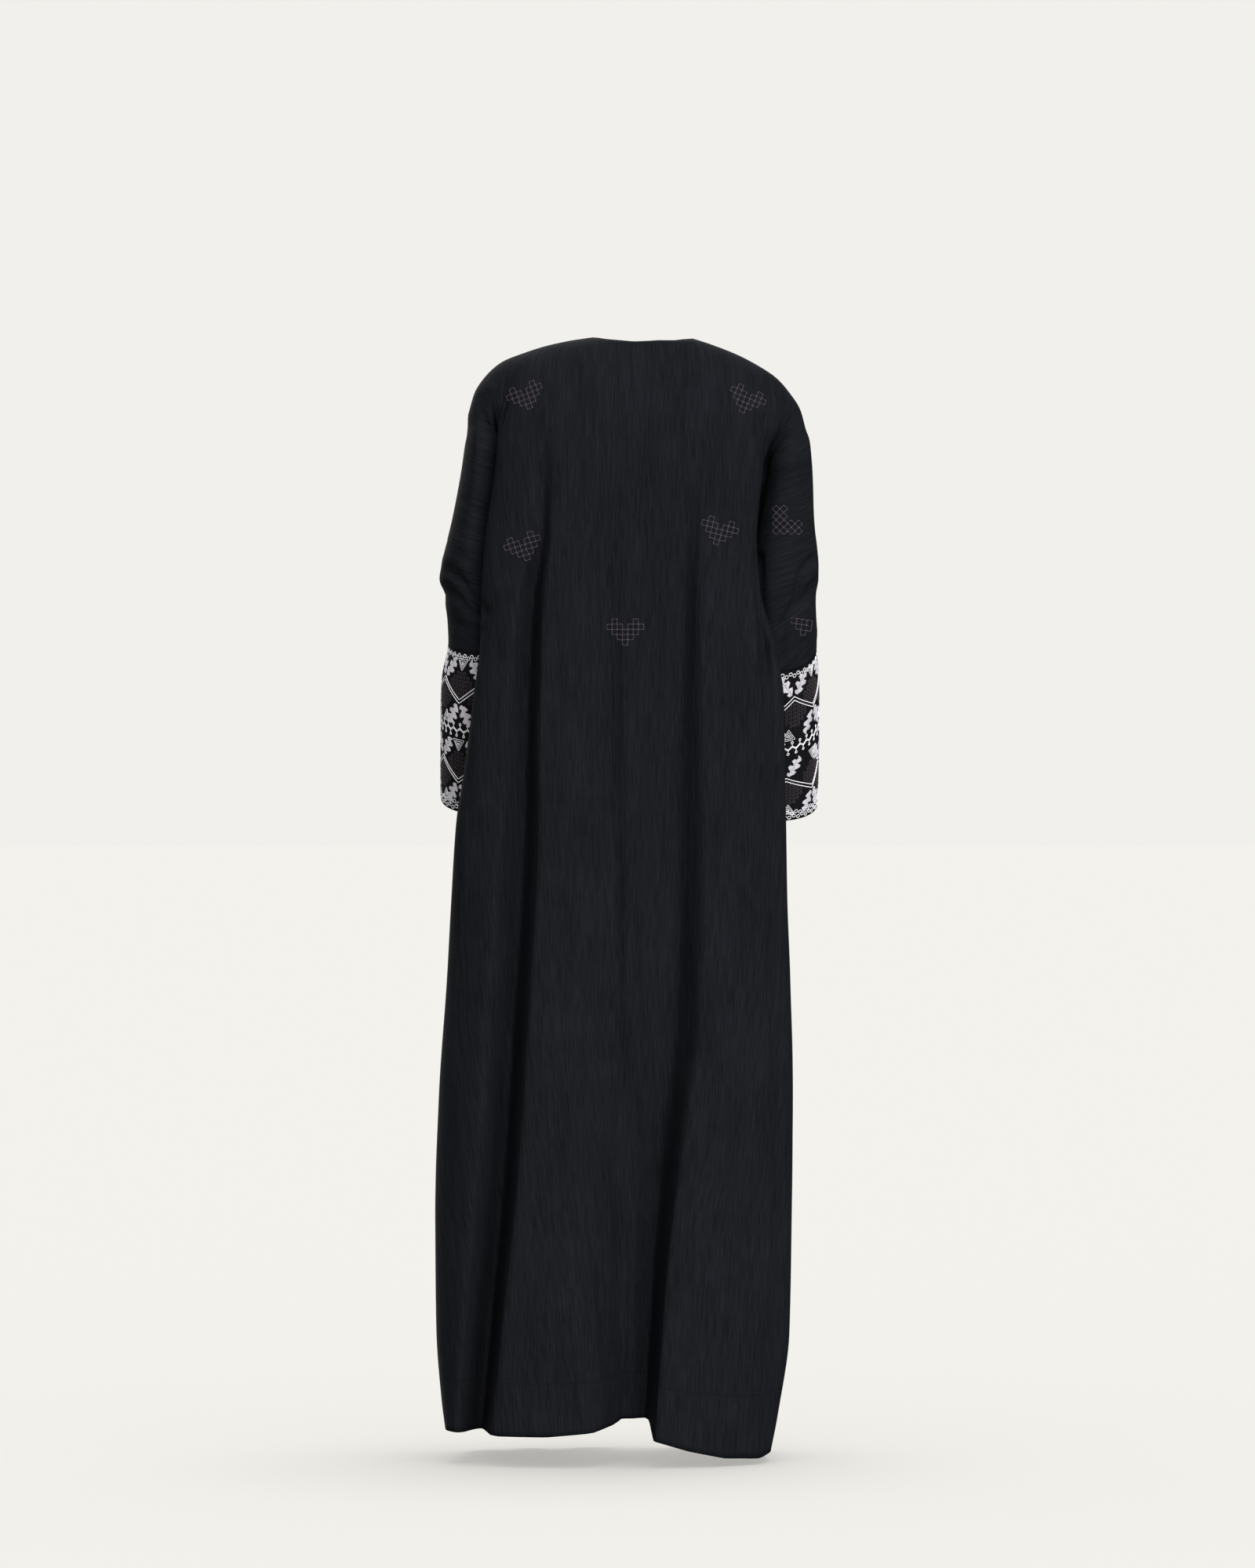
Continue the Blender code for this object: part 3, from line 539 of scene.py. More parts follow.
def back_flat(points, z):
    """The back's flat coordinates, counted along a level row of cloth from where it crosses the middle."""
    along = travelled(points[:, :2])
    order = np.argsort(points[:, 0])
    near = order[np.abs(points[order, 0]) < NEAR_MIDDLE]
    middle = np.interp(0.0, points[near, 0], along[near]) if len(near) > 1 else along[-1]
    return np.stack((middle - along, np.full(len(points), z)), axis=-1)


def sleeve_share(count, z):
    """How far each point of a row above the underarm takes the sleeve's flat coordinates, from 0 to 1."""
    return ease(SIDE_COUNT, ARM_COUNT * 0.6, np.arange(count)) * ease(*SLEEVE_CRINKLE_FROM, z)


def add_sleeve(sheet, underarm, side, face, flip):
    """The sleeve's rows from the underarm to the cuff's seam, on which it rounds into a tube."""
    sheet.above = underarm
    for k in range(1, SLEEVE_ROWS + 1):
        share = k / SLEEVE_ROWS
        z = UNDERARM_Z + (CUFF_SEAM_Z[side] - UNDERARM_Z) * share
        points = sleeve_ring(z, side, face, share * math.tan(CUFF_TILT[side][0]), ease(0, 1, share))
        sheet.add_row(points, arm_flat(points, z, side), flip)


def build_back_sheet():
    """The back with the back halves of both sleeves, in one sheet."""
    sheet = Sheet()
    crossing = None
    for z in ROW_HEIGHTS:
        row = row_at(z)
        split = z < UNDERARM_Z - 1e-9
        blend = below_yoke(row)
        walls = {side: body_wall(row, "back", side, split) for side in SIGN}
        places = back_places(min(z, YOKE_FOOT_Z))
        share = (places[0] - places) / (places[0] - places[-1])
        ends = (walls["left"][-1][0], walls["right"][-1][0])
        round_x = ends[0] + (ends[1] - ends[0]) * share
        points = np.empty((len(places), 3))
        for side, mine in (("left", round_x > 0), ("right", round_x <= 0)):
            outer = dome(row, side, "back", 0.0)[0]
            cosine = np.clip(np.abs(round_x[mine]) / outer, 0, 1) ** (1 / DOME_WIDTH_POWER)
            points[mine] = dome(row, side, "back", np.arccos(cosine) / (math.pi / 2))
        points[:, 0] = round_x + (places - round_x) * blend
        points[:, 1] += (back_surface(places, z) - points[:, 1]) * blend
        points = settle(points, "back")
        body = np.concatenate((walls["left"], points[1:-1], walls["right"][::-1]))
        flat = back_flat(body, z)
        if split and crossing is None:
            crossing = sheet.above
            sheet.above = crossing[ARM_COUNT:-ARM_COUNT]
        if not split:
            left, right = arm_row(row, "back", "left"), arm_row(row, "back", "right")
            left_lane = arm_flat(left, row["left"], "left")[:-1]
            right_lane = arm_flat(right, row["right"], "right")[:-1]
            lanes = np.concatenate((left_lane, flat, right_lane[::-1]))
            body = np.concatenate((left, body[1:-1], right[::-1]))
            share = sleeve_share(len(body), z)
            share = np.maximum(share, share[::-1])[:, None]
            flat = back_flat(body, z) * (1 - share) + lanes * share
        sheet.add_row(body, flat, True)
    add_sleeve(sheet, crossing[:ARM_COUNT + 1], "left", "back", True)
    add_sleeve(sheet, crossing[::-1][:ARM_COUNT + 1], "right", "back", False)
    return sheet


# Each small crease has its depth, its width and the x and z of its points, in millimetres.
CREASES = (
    (8.0, 7.0, ((262, -306), (246, -322), (230, -340), (214, -366))),
    (5.0, 6.0, ((266, -330), (246, -350), (228, -372), (218, -392))),
    (3.0, 6.0, ((262, -372), (240, -384), (222, -392))),
    (2.4, 5.0, ((248, -286), (236, -296), (226, -312))),
    (9.0, 6.0, ((-228, -294), (-214, -313), (-206, -351), (-188, -384))),
    (6.0, 5.0, ((-232, -324), (-220, -342), (-210, -362))),
    (4.5, 5.0, ((-187, -388), (-186, -440))),
    (9.0, 5.0, ((-155, -290), (-157, -344), (-161, -400), (-164, -452))),
    (6.0, 5.0, ((-164, -104), (-167, -142), (-163, -182))),
    (5.0, 5.0, ((186, -82), (190, -100), (198, -122))),
    (2.0, 6.0, ((182, -58), (192, -80), (198, -104))),
    (2.0, 6.0, ((204, -76), (209, -92), (212, -112))),
    (2.2, 7.0, ((214, -74), (224, -92), (229, -112))),
    (1.6, 6.0, ((-174, -52), (-186, -84), (-196, -120))),
    (2.4, 5.0, ((-196, -88), (-206, -130), (-215, -175), (-224, -222))),
)


def carve(points, normals, way):
    """How far the small creases move each point that faces backwards (way 1) or forwards (way -1)."""
    move = np.zeros(len(points))
    view = points[:, (0, 2)]
    facing = np.clip(normals[:, 1] * way * 2, 0, 1)
    for depth, width, path in CREASES:
        line = np.array(path, dtype=float) * MM
        away = np.full(len(points), np.inf)
        for a, b in zip(line[:-1], line[1:]):
            along = np.clip(((view - a) @ (b - a)) / ((b - a) @ (b - a)), 0, 1)
            away = np.minimum(away, np.linalg.norm(view - a - along[:, None] * (b - a), axis=1))
        move -= depth * MM * np.exp(-(away / (width * MM)) ** 2) * facing
    return move


STREAKS = 60
STREAK_WANDER = 0.006
rng = np.random.default_rng(11)
streak_places = rng.uniform(-0.75, 0.75, STREAKS)
streak_widths = rng.uniform(0.004, 0.016, STREAKS)
streak_heights = rng.uniform(-0.0009, 0.0009, STREAKS)
streak_waves = rng.uniform(2.0, 7.0, STREAKS)
streak_turns = rng.uniform(0, 2 * math.pi, STREAKS)


def streaks(flat):
    """Faint ridges and troughs along the crinkle."""
    total = np.zeros(len(flat))
    for place, width, height, wave, turn in zip(
            streak_places, streak_widths, streak_heights, streak_waves, streak_turns):
        wander = place + STREAK_WANDER * np.sin(flat[:, 1] * wave + turn)
        strength = 0.6 + 0.4 * np.sin(flat[:, 1] * wave * 1.7 + 2 * turn)
        total += height * strength * np.exp(-((flat[:, 0] - wander) / width) ** 2)
    return total


CLOTH_THICKNESS = 0.0012
surfaces = {}


def make_cloth(name, sheet, way, sewing):
    """A shell from a sheet, with its flat coordinates, its sewn lines and, unless way is 0, its creases."""
    points = np.concatenate(sheet.points)
    flat = np.concatenate(sheet.flat)
    faces = np.concatenate(sheet.faces)
    mesh = bpy.data.meshes.new(name)
    mesh.from_pydata(points.tolist(), [], faces.tolist())
    mesh.update()
    normals = np.zeros(len(points) * 3, dtype=np.float32)
    mesh.vertex_normals.foreach_get("vector", normals)
    normals = normals.reshape(-1, 3)
    move = carve(points, normals, way) + streaks(flat) if way else np.zeros(len(points))
    moved = points + normals * move[:, None]
    mesh.vertices.foreach_set("co", moved.astype(np.float32).ravel())
    surfaces[name] = BVHTree.FromPolygons(moved.tolist(), faces.tolist())
    loops = np.zeros(len(mesh.loops), dtype=np.int32)
    mesh.loops.foreach_get("vertex_index", loops)
    for layer_name, values in (("grain", flat), ("sewing", sewing(flat))):
        layer = mesh.uv_layers.new(name=layer_name)
        layer.data.foreach_set("uv", values[loops].astype(np.float32).ravel())
    mesh.shade_smooth()
    mesh.update()
    item = add_object(name, mesh)
    wall = item.modifiers.new("wall", "SOLIDIFY")
    wall.thickness = CLOTH_THICKNESS
    wall.offset = 0.0
    return item


HEM_STITCH_Z = HEM_Z + 0.072
SEWN_LINE_HALF = 0.0009


def back_sewing(flat):
    """How far each point lies below the hem's stitching. The other number is for the fronts."""
    return np.stack((HEM_STITCH_Z - flat[:, 1], np.full(len(flat), -1.0)), axis=-1)


def new_group(name, inputs, outputs):
    """A node group with named inputs and outputs, and the sockets that stand for them inside it."""
    group = bpy.data.node_groups.new(name, "ShaderNodeTree")
    for way, sockets in (("INPUT", inputs), ("OUTPUT", outputs)):
        for label, kind in sockets.items():
            group.interface.new_socket(name=label, in_out=way, socket_type="NodeSocket" + kind)
    return group, group.nodes.new("NodeGroupInput").outputs, group.nodes.new("NodeGroupOutput").inputs


def feed(group, source, target):
    """Sets an input to a number, or links a value to it."""
    if isinstance(source, (int, float)):
        target.default_value = source
    else:
        group.links.new(source, target)


def join(group, kind, a, b):
    """A sum, product or other Math node of two values."""
    node = group.nodes.new("ShaderNodeMath")
    node.operation = kind
    feed(group, a, node.inputs[0])
    feed(group, b, node.inputs[1])
    return node.outputs["Value"]


def weighted(group, parts):
    """The sum of several values, each times its weight."""
    total = 0.0
    for value, weight in parts:
        total = join(group, "ADD", join(group, "MULTIPLY", value, weight), total)
    return total


def noise_layer(group, place, across, along, detail):
    """Noise with so many changes a metre across the cloth's crinkle and along it."""
    scale = group.nodes.new("ShaderNodeVectorMath")
    scale.operation = "MULTIPLY"
    scale.inputs[1].default_value = (across, along, 1)
    feed(group, place, scale.inputs[0])
    noise = group.nodes.new("ShaderNodeTexNoise")
    noise.inputs["Scale"].default_value = 1.0
    noise.inputs["Detail"].default_value = detail
    noise.inputs["Roughness"].default_value = 0.55
    feed(group, scale.outputs["Vector"], noise.inputs["Vector"])
    return noise.outputs["Fac"]


def two_tones(group, tone, low, high, dark, light, target):
    """Goes from the dark colour to the light one as the tone rises from low to high."""
    spread = group.nodes.new("ShaderNodeMapRange")
    feed(group, low, spread.inputs["From Min"])
    feed(group, high, spread.inputs["From Max"])
    feed(group, tone, spread.inputs["Value"])
    blend = group.nodes.new("ShaderNodeMix")
    blend.data_type = "RGBA"
    feed(group, spread.outputs["Result"], blend.inputs["Factor"])
    feed(group, dark, blend.inputs[6])
    feed(group, light, blend.inputs[7])
    feed(group, blend.outputs[2], target)


def relief(group, height, strength, distance, target):
    """Makes a height into the normal of a surface with that relief."""
    bump = group.nodes.new("ShaderNodeBump")
    feed(group, strength, bump.inputs["Strength"])
    feed(group, distance, bump.inputs["Distance"])
    feed(group, height, bump.inputs["Height"])
    feed(group, bump.outputs["Normal"], target)


def flat_place(group, layer):
    """A point's place in one of the cloth's layers of flat coordinates."""
    node = group.nodes.new("ShaderNodeUVMap")
    node.uv_map = layer
    return node.outputs["UV"]


def crinkle_group():
    """Gauze crepe: close uneven ridges that run down the cloth. Its colour has random mottle, with painted
    highlight on the ridges and painted shade in the troughs.
    """
    group, given, made = new_group(
        "crepe_crinkle", {"Dark": "Color", "Light": "Color", "Ridge Depth": "Float"},
        {"Color": "Color", "Normal": "Vector"})
    grain = flat_place(group, "grain")
    ridges = noise_layer(group, grain, across=480, along=30, detail=2.0)
    broad = noise_layer(group, grain, across=140, along=8, detail=2.0)
    mottle = noise_layer(group, grain, across=26, along=7, detail=2.0)
    yarn = noise_layer(group, grain, across=1100, along=900, detail=1.0)
    apart = group.nodes.new("ShaderNodeSeparateXYZ")
    feed(group, flat_place(group, "sewing"), apart.inputs["Vector"])
    lines = 0.0
    for axis in ("X", "Y"):
        away = join(group, "ABSOLUTE", apart.outputs[axis], 0.0)
        lines = join(group, "MAXIMUM", join(group, "LESS_THAN", away, SEWN_LINE_HALF), lines)
    height = weighted(group, ((ridges, 0.8), (broad, 0.9), (yarn, 0.25), (lines, -0.25)))
    # The tone rises with the ridges' height: painted highlight on the ridges and painted shade in the
    # troughs, with random mottle besides.
    tone = weighted(group, ((ridges, 0.50), (broad, 0.20), (mottle, 0.20), (yarn, 0.10), (lines, -0.05)))
    two_tones(group, tone, 0.38, 0.64, given["Dark"], given["Light"], made["Color"])
    relief(group, height, 0.8, given["Ridge Depth"], made["Normal"])
    return group


def finish(name, group, shader_values, group_values):
    """A material whose colour and normal come from a node group with its own values."""
    made = bpy.data.materials.new(name)
    made.use_nodes = True
    shader = made.node_tree.nodes["Principled BSDF"]
    effect = made.node_tree.nodes.new("ShaderNodeGroup")
    effect.node_tree = group
    for node, values in ((shader, shader_values), (effect, group_values)):
        for socket, value in values.items():
            node.inputs[socket].default_value = value
    made.node_tree.links.new(effect.outputs["Color"], shader.inputs["Base Color"])
    made.node_tree.links.new(effect.outputs["Normal"], shader.inputs["Normal"])
    return made


MATT_CLOTH = {"Roughness": 0.95, "Specular IOR Level": 0.05}
crinkle_nodes = crinkle_group()
# Its two colours hold the crepe's mottle, painted shade in the troughs and painted highlight on the ridges.
black_crepe = finish("black_crepe", crinkle_nodes, MATT_CLOTH, {
    "Dark": (0.0043, 0.0048, 0.0063, 1),
    "Light": (0.0101, 0.0108, 0.0137, 1),
    "Ridge Depth": 0.0015,
})

back = make_cloth("back_cloth", build_back_sheet(), 1, back_sewing)
back.data.materials.append(black_crepe)
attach(back, "root")
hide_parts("back")

# The fronts
# Each is cut from the crepe like half of the back, with the front half of its sleeve. The open edge runs
# from the neck to the hem, turned in and stitched down, and the two hang apart in front.
EDGE_STITCH_X = 0.014
FRONT_FOLDS_FADE = 0.2
FRONT_STRIPS = 40
FRONT_FOLDS = {
    "chest": (
        FOLD_COLUMNS,
        (-150, 96, 0, 30, 30),
        (-260, 98, 8, 30, 30),
        (-700, 104, 14, 34, 34),
        (-1480, 116, 24, 36, 36),
    ),
    "side": (
        FOLD_COLUMNS,
        (-420, 160, 0, 22, 22),
        (-600, 164, 8, 22, 24),
        (-900, 176, 14, 26, 26),
        (-1480, 186, 22, 28, 26),
    ),
}


def front_flat(points, z, side):
    """A front's flat coordinates, counted from its open edge."""
    along = travelled(points[:, :2])
    return np.stack((SIGN[side] * (along[-1] - along), np.full(len(points), z)), axis=-1)


def build_front_sheet(side):
    """One front with the front half of its sleeve, in one sheet."""
    sheet = Sheet()
    flip = side == "right"
    crossing = None
    for level in ROW_HEIGHTS:
        row = row_at(level)
        split = level < UNDERARM_Z - 1e-9
        z = row["front"]
        blend = below_yoke(row)
        share = np.arange(1, FRONT_STRIPS + 1) / FRONT_STRIPS
        points = dome(row, side, "front", LOBE_SHARE + (1 - LOBE_SHARE) * share)
        lobe_x, lobe_y = read(BODY, f"front_{side}_lobe", z), read(BODY, "front_lobe_y", z)
        edge_x, front_y = read(BODY, "edge_x", z), read(BODY, "front_y", z)
        angle = share * math.pi / 2
        x = edge_x + (lobe_x - edge_x) * np.clip(np.cos(angle), 0, 1) ** DOME_WIDTH_POWER
        y = lobe_y + (front_y - lobe_y) * np.sin(angle) ** DOME_DEPTH_POWER
        y += fold_depth(FRONT_FOLDS, x, z) * np.clip(share / FRONT_FOLDS_FADE, 0, 1)
        points[:, 0] += (x - points[:, 0]) * blend
        points[:, 1] += (y - points[:, 1]) * blend
        points[:, 0] *= SIGN[side]
        body = np.concatenate((body_wall(row, "front", side, split), settle(points, "front")))
        flat = front_flat(body, level, side)
        if split and crossing is None:
            crossing = sheet.above
            sheet.above = crossing[ARM_COUNT:]
        if not split:
            arm = arm_row(row, "front", side)
            lanes = np.concatenate((arm_flat(arm, row[side], side)[:-1], flat))
            body = np.concatenate((arm, body[1:]))
            share = sleeve_share(len(body), level)[:, None]
            flat = front_flat(body, level, side) * (1 - share) + lanes * share
        sheet.add_row(body, flat, flip)
    add_sleeve(sheet, crossing[:ARM_COUNT + 1], side, "front", flip)
    return sheet


def front_sewing(flat):
    """How far each point lies below the hem's stitching, and outside the stitching of the open edge."""
    return np.stack((HEM_STITCH_Z - flat[:, 1], np.abs(flat[:, 0]) - EDGE_STITCH_X), axis=-1)


for side in SIGN:
    front = make_cloth("front_" + side + "_cloth", build_front_sheet(side), -1, front_sewing)
    front.data.materials.append(black_crepe)
    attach(front, "root")
    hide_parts("front_" + side)

# The cuffs
# Each is a closed band of smoother black cloth, seamed to the end of its sleeve. The embroidery covers it
# and stiffens it, so it stands as a round tube.
CUFF_FLAT = (0.375, 0.210)
CUFF_ROWS = 32
AROUND_STEPS = 180
# Its two colours hold the cloth's mottle, painted shade in the troughs and painted highlight on the ridges.
cuff_black = finish("cuff_black", crinkle_nodes, MATT_CLOTH, {
    "Dark": (0.0034, 0.0033, 0.0042, 1),
    "Light": (0.0078, 0.0073, 0.0090, 1),
    "Ridge Depth": 0.0006,
})
cuff_grids = {}


def cuff_ring(z, side, slope):
    """A whole ring of the cuff, from the overarm seam through the back to the inner seam and on."""
    rear, fore = [sleeve_ring(z, side, face, slope, 1) for face in ("back", "front")]
    return np.concatenate((rear, fore[-2:0:-1]))


def no_sewing(flat):
    """The cuff's own stitching is thread, so no line is drawn in its cloth."""
    return np.full((len(flat), 2), -1.0)


for side in SIGN:
    sheet = Sheet(closed=True)
    rings = []
    for share in np.arange(CUFF_ROWS + 1) / CUFF_ROWS:
        z = CUFF_SEAM_Z[side] - CUFF_DROP[side] * share
        tilt = CUFF_TILT[side][0] + (CUFF_TILT[side][1] - CUFF_TILT[side][0]) * share
        ring = cuff_ring(z, side, math.tan(tilt))
        closed = np.concatenate((ring, ring[:1]))
        around = travelled(closed)
        even = np.linspace(0, around[-1], AROUND_STEPS + 1)
        rings.append(np.stack([np.interp(even, around, closed[:, i]) for i in range(3)], axis=-1))
        sheet.add_row(ring, np.stack((around[:-1], np.full(len(ring), z)), axis=-1), side == "left")
    cuff_grids[side] = np.array(rings)
    cuff = make_cloth("cuff_" + side + "_cloth", sheet, 0, no_sewing)
    cuff.data.materials.append(cuff_black)
    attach(cuff, "root")
    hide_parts("cuff_" + side)

# The small hearts
# Each is a little heart of outlined squares, worked through the cloth in dull mauve thread, with two
# short stitches to a side. They are scattered over the back, the fronts and the sleeves.
HEART = (
    ".#...#.",
    "###.###",
    ".#####.",
    "..###..",
    "...#...",
)
HEART_MIDDLE = (len(HEART[0]) / 2, len(HEART) / 2)
SQUARE = 0.0070
SIDE_STITCHES = ((-0.02, 0.47), (0.53, 1.02))
STITCH_WOBBLE = 0.00025
HEART_THREAD_RADIUS = 0.00034
# Each row gives x and z of the middle in millimetres, the turn in degrees and the first row of squares
# that shows from under a crease.
HEART_PLACES = {
    "back": (
        (157, -77, 20, 0), (-138, -82, -22, 0), (160, -280, 18, 0), (-101, -259, -14, 0), (24, -393, 0, 0),
        (-189, -246, -45, 0), (-217, -378, -8, 2),
    ),
    "front_left": ((132, -118, 16, 0), (84, -300, -10, 0), (214, -262, 40, 0)),
    "front_right": ((-126, -124, -18, 0), (-86, -330, 8, 0), (-196, -270, -42, 0)),
}
# How far along a stitch each ring of it lies, its thickness and its lift, in radii
THREAD_SECTION = ((0.0, 0.6, -0.3), (0.15, 0.95, 0.35), (0.5, 1.0, 0.5), (0.85, 0.95, 0.35), (1.0, 0.6, -0.3))


def sew(name, starts, ends, ups, radius, sides, material, slot):
    """One mesh of many short stitches of thread, each a small capsule that arches out of the cloth."""
    starts, ends, ups = np.array(starts), np.array(ends), np.array(ups)
    radii = np.broadcast_to(radius, (len(starts),))[:, None]
    way = ends - starts
    unit = way / np.linalg.norm(way, axis=1)[:, None]
    across = np.cross(ups, unit)
    across /= np.linalg.norm(across, axis=1)[:, None]
    out = np.cross(unit, across)
    section = THREAD_SECTION if sides > 4 else THREAD_SECTION[::2]
    angles = 2 * math.pi * np.arange(sides) / sides
    rings = []
    for share, thick, lift in section:
        centre = starts + way * share + out * (lift * radii)
        ring = across[:, None, :] * np.cos(angles)[:, None] + out[:, None, :] * np.sin(angles)[:, None]
        rings.append(centre[:, None, :] + ring * radii[:, :, None] * thick)
    points = np.stack(rings, axis=1).reshape(-1, 3)
    keys = np.arange(len(section) * sides).reshape(len(section), sides)
    turned = np.roll(keys, -1, axis=1)
    walls = np.stack((keys[:-1], turned[:-1], turned[1:], keys[1:]), axis=-1).reshape(-1, 4)
    caps = np.array((keys[0][::-1], keys[-1]))
    offsets = np.arange(len(starts))[:, None, None] * keys.size
    faces = (walls + offsets).reshape(-1, 4).tolist() + (caps + offsets).reshape(-1, sides).tolist()
    mesh = bpy.data.meshes.new(name)
    mesh.from_pydata(points.tolist(), [], faces)
    mesh.shade_smooth()
    mesh.materials.append(material)
    item = add_object(name, mesh)
    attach(item, "root")


def thread_group():
    """Twisted thread: the colour and the height change along fine plies."""
    group, given, made = new_group(
        "thread_twist", {"Thread": "Color", "Shadow": "Color"}, {"Color": "Color", "Normal": "Vector"})
    place = group.nodes.new("ShaderNodeTexCoord").outputs["Object"]
    plies = noise_layer(group, place, across=1500, along=1500, detail=1.0)
    worn = noise_layer(group, place, across=120, along=120, detail=1.0)
    tone = weighted(group, ((plies, 0.7), (worn, 0.3)))
    two_tones(group, tone, 0.35, 0.62, given["Shadow"], given["Thread"], made["Color"])
    relief(group, plies, 0.5, 0.0003, made["Normal"])
    return group


thread_nodes = thread_group()


def thread_material(name, thread, shadow, roughness):
    """Thread of one colour, darker between its plies."""
    return finish(name, thread_nodes, {"Roughness": roughness, "Sheen Weight": 0.1},
                  {"Thread": (*thread, 1), "Shadow": (*shadow, 1)})


mauve_thread = thread_material("mauve_thread", (0.086, 0.062, 0.077), (0.042, 0.030, 0.038), 0.8)


def heart_sides(first_row):
    """The sides of the heart's squares, each once, as pairs of corners counted in squares."""
    sides = set()
    for row, line in list(enumerate(HEART))[first_row:]:
        for column, mark in enumerate(line):
            if mark == "#":
                for a, b in (((0, 0), (1, 0)), ((0, 1), (1, 1)), ((0, 0), (0, 1)), ((1, 0), (1, 1))):
                    sides.add(((column + a[0], row + a[1]), (column + b[0], row + b[1])))
    return sorted(sides)


def heart_stitches(part, x, z, turn, first_row):
    """The stitches of one heart on the cloth, each with its start, its end and the way out."""
    facing = 1.0 if part == "back" else -1.0
    cloth = surfaces[part + "_cloth"]
    cos, sin = math.cos(math.radians(turn)), math.sin(math.radians(turn))
    stitches = []
    wobble = random.Random(x * 7 + z)
    for a, b in heart_sides(first_row):
        for span in SIDE_STITCHES:
            found = []
            for share in span:
                right = (a[0] + (b[0] - a[0]) * share - HEART_MIDDLE[0]) * SQUARE
                right += wobble.uniform(-STITCH_WOBBLE, STITCH_WOBBLE)
                up = (HEART_MIDDLE[1] - a[1] - (b[1] - a[1]) * share) * SQUARE
                up += wobble.uniform(-STITCH_WOBBLE, STITCH_WOBBLE)
                place = (x * MM - facing * (right * cos - up * sin), facing, z * MM + right * sin + up * cos)
                hit, normal = cloth.ray_cast(Vector(place), Vector((0, -facing, 0)))[:2]
                if hit is not None:
                    normal = normal if normal.y * facing > 0 else -normal
                    found.append((np.array(hit + normal * CLOTH_THICKNESS / 2), np.array(normal)))
            if len(found) == 2:
                (start, up), (end, more_up) = found
                if np.linalg.norm(start - end) < SQUARE:
                    stitches.append((start, end, up + more_up))
    return stitches


for part, places in HEART_PLACES.items():
    stitches = []
    for place in places:
        stitches += heart_stitches(part, *place)
    sew(part + "_hearts", *zip(*stitches), HEART_THREAD_RADIUS, 5, mauve_thread, "cloth")

# The cuffs' embroidery
# White chain stitch in zigzags, looped braid and small triangles, pale lilac leaves in satin stitch, and
# plum squares between them. It is a general folk pattern, charted on the flat cuff.
# Sizes are in millimetres, around the cuff and down from its seam.
REPEATS = 6
START_AROUND = {"left": 28.0, "right": 69.0}
# Each zigzag has the depths of its peaks and its lower turns, and how far round its peaks are shifted.
ZIGZAGS = {
    "left": ((38.0, 63.0, 0.0), (142.0, 167.0, 0.0)),
    "right": ((36.0, 60.0, 0.0), (147.0, 173.0, 11.0)),
}
LINE_GAP = 2.35
CHAIN_STEP = 2.1
LEAF_LENGTH = 29.0
LEAF_HALF = 8.2
LEAF_ROWS = 30
# How wide the leaf is at its foot and at its tip, as a share, and how fast it widens from there.
LEAF_SHAPE = ((0.42, 1.9), (0.30, 1.9))
LEAF_LOBES = 3.0
LOBES_APART = 0.4
LOBE_NECK = 0.30
LOBE_STEEPNESS = 4.6
LOBE_GAP = 0.09
STITCH_SLANT = 0.30
UNEVEN = (0.94, 1.04)
LEAF_LEAN = math.radians(32)
LOWER_LEAN_SHARE = 0.8
LEAF_FOOT = (3.8, 5.0)
TRIANGLE = (17.0, 15.0)
TRIANGLE_SIZES = (1.0, 0.60, 0.22)
TRIANGLE_AWAY = 48.5
TRIANGLE_SHIFT = 8.0
WRIST_CLEAR = 16.0
# Each row of rings has its depth, or its height over the wrist, its radius, its step and how far it weaves.
TOP_RINGS = (5.6, 2.2, 5.2, 1.3)
WRIST_RINGS = ((11.6, 2.4, 6.2, 1.1), (5.4, 2.4, 6.2, 1.1))
MIDDLE_BRAID = (1.7, 10.7)
BRAID_STRANDS = (-0.8, 0.8)
BRAID_DEPTH = {"left": 100.0, "right": 102.0}
STALK = 4.4
BUD_AWAY = 5.8
BUD_RADIUS = 1.6
# The rows sag at the back and the front of the worn cuff, and ride up at its seams.
SAG = {"left": 1.5, "right": 7.0}
SAG_LEVEL = 0.3
SQUARES = 5.2
SQUARE_HALF = 1.6
DIAMOND_SHIFT = 8.0
DIAMOND_HALF = 3
WHITE_RADIUS = 0.68
FINE_RADIUS = 0.56
OUTLINE_RADIUS = 0.44
LEAF_RADIUS = 0.62
PLUM_RADIUS = 0.36
SHORTEST_STITCH = 0.2 * MM

white_thread = thread_material("white_thread", (0.93, 0.93, 0.95), (0.74, 0.74, 0.77), 0.6)
lilac_thread = thread_material("lilac_thread", (0.60, 0.58, 0.62), (0.43, 0.41, 0.45), 0.5)
plum_thread = thread_material("plum_thread", (0.052, 0.034, 0.044), (0.024, 0.015, 0.020), 0.7)


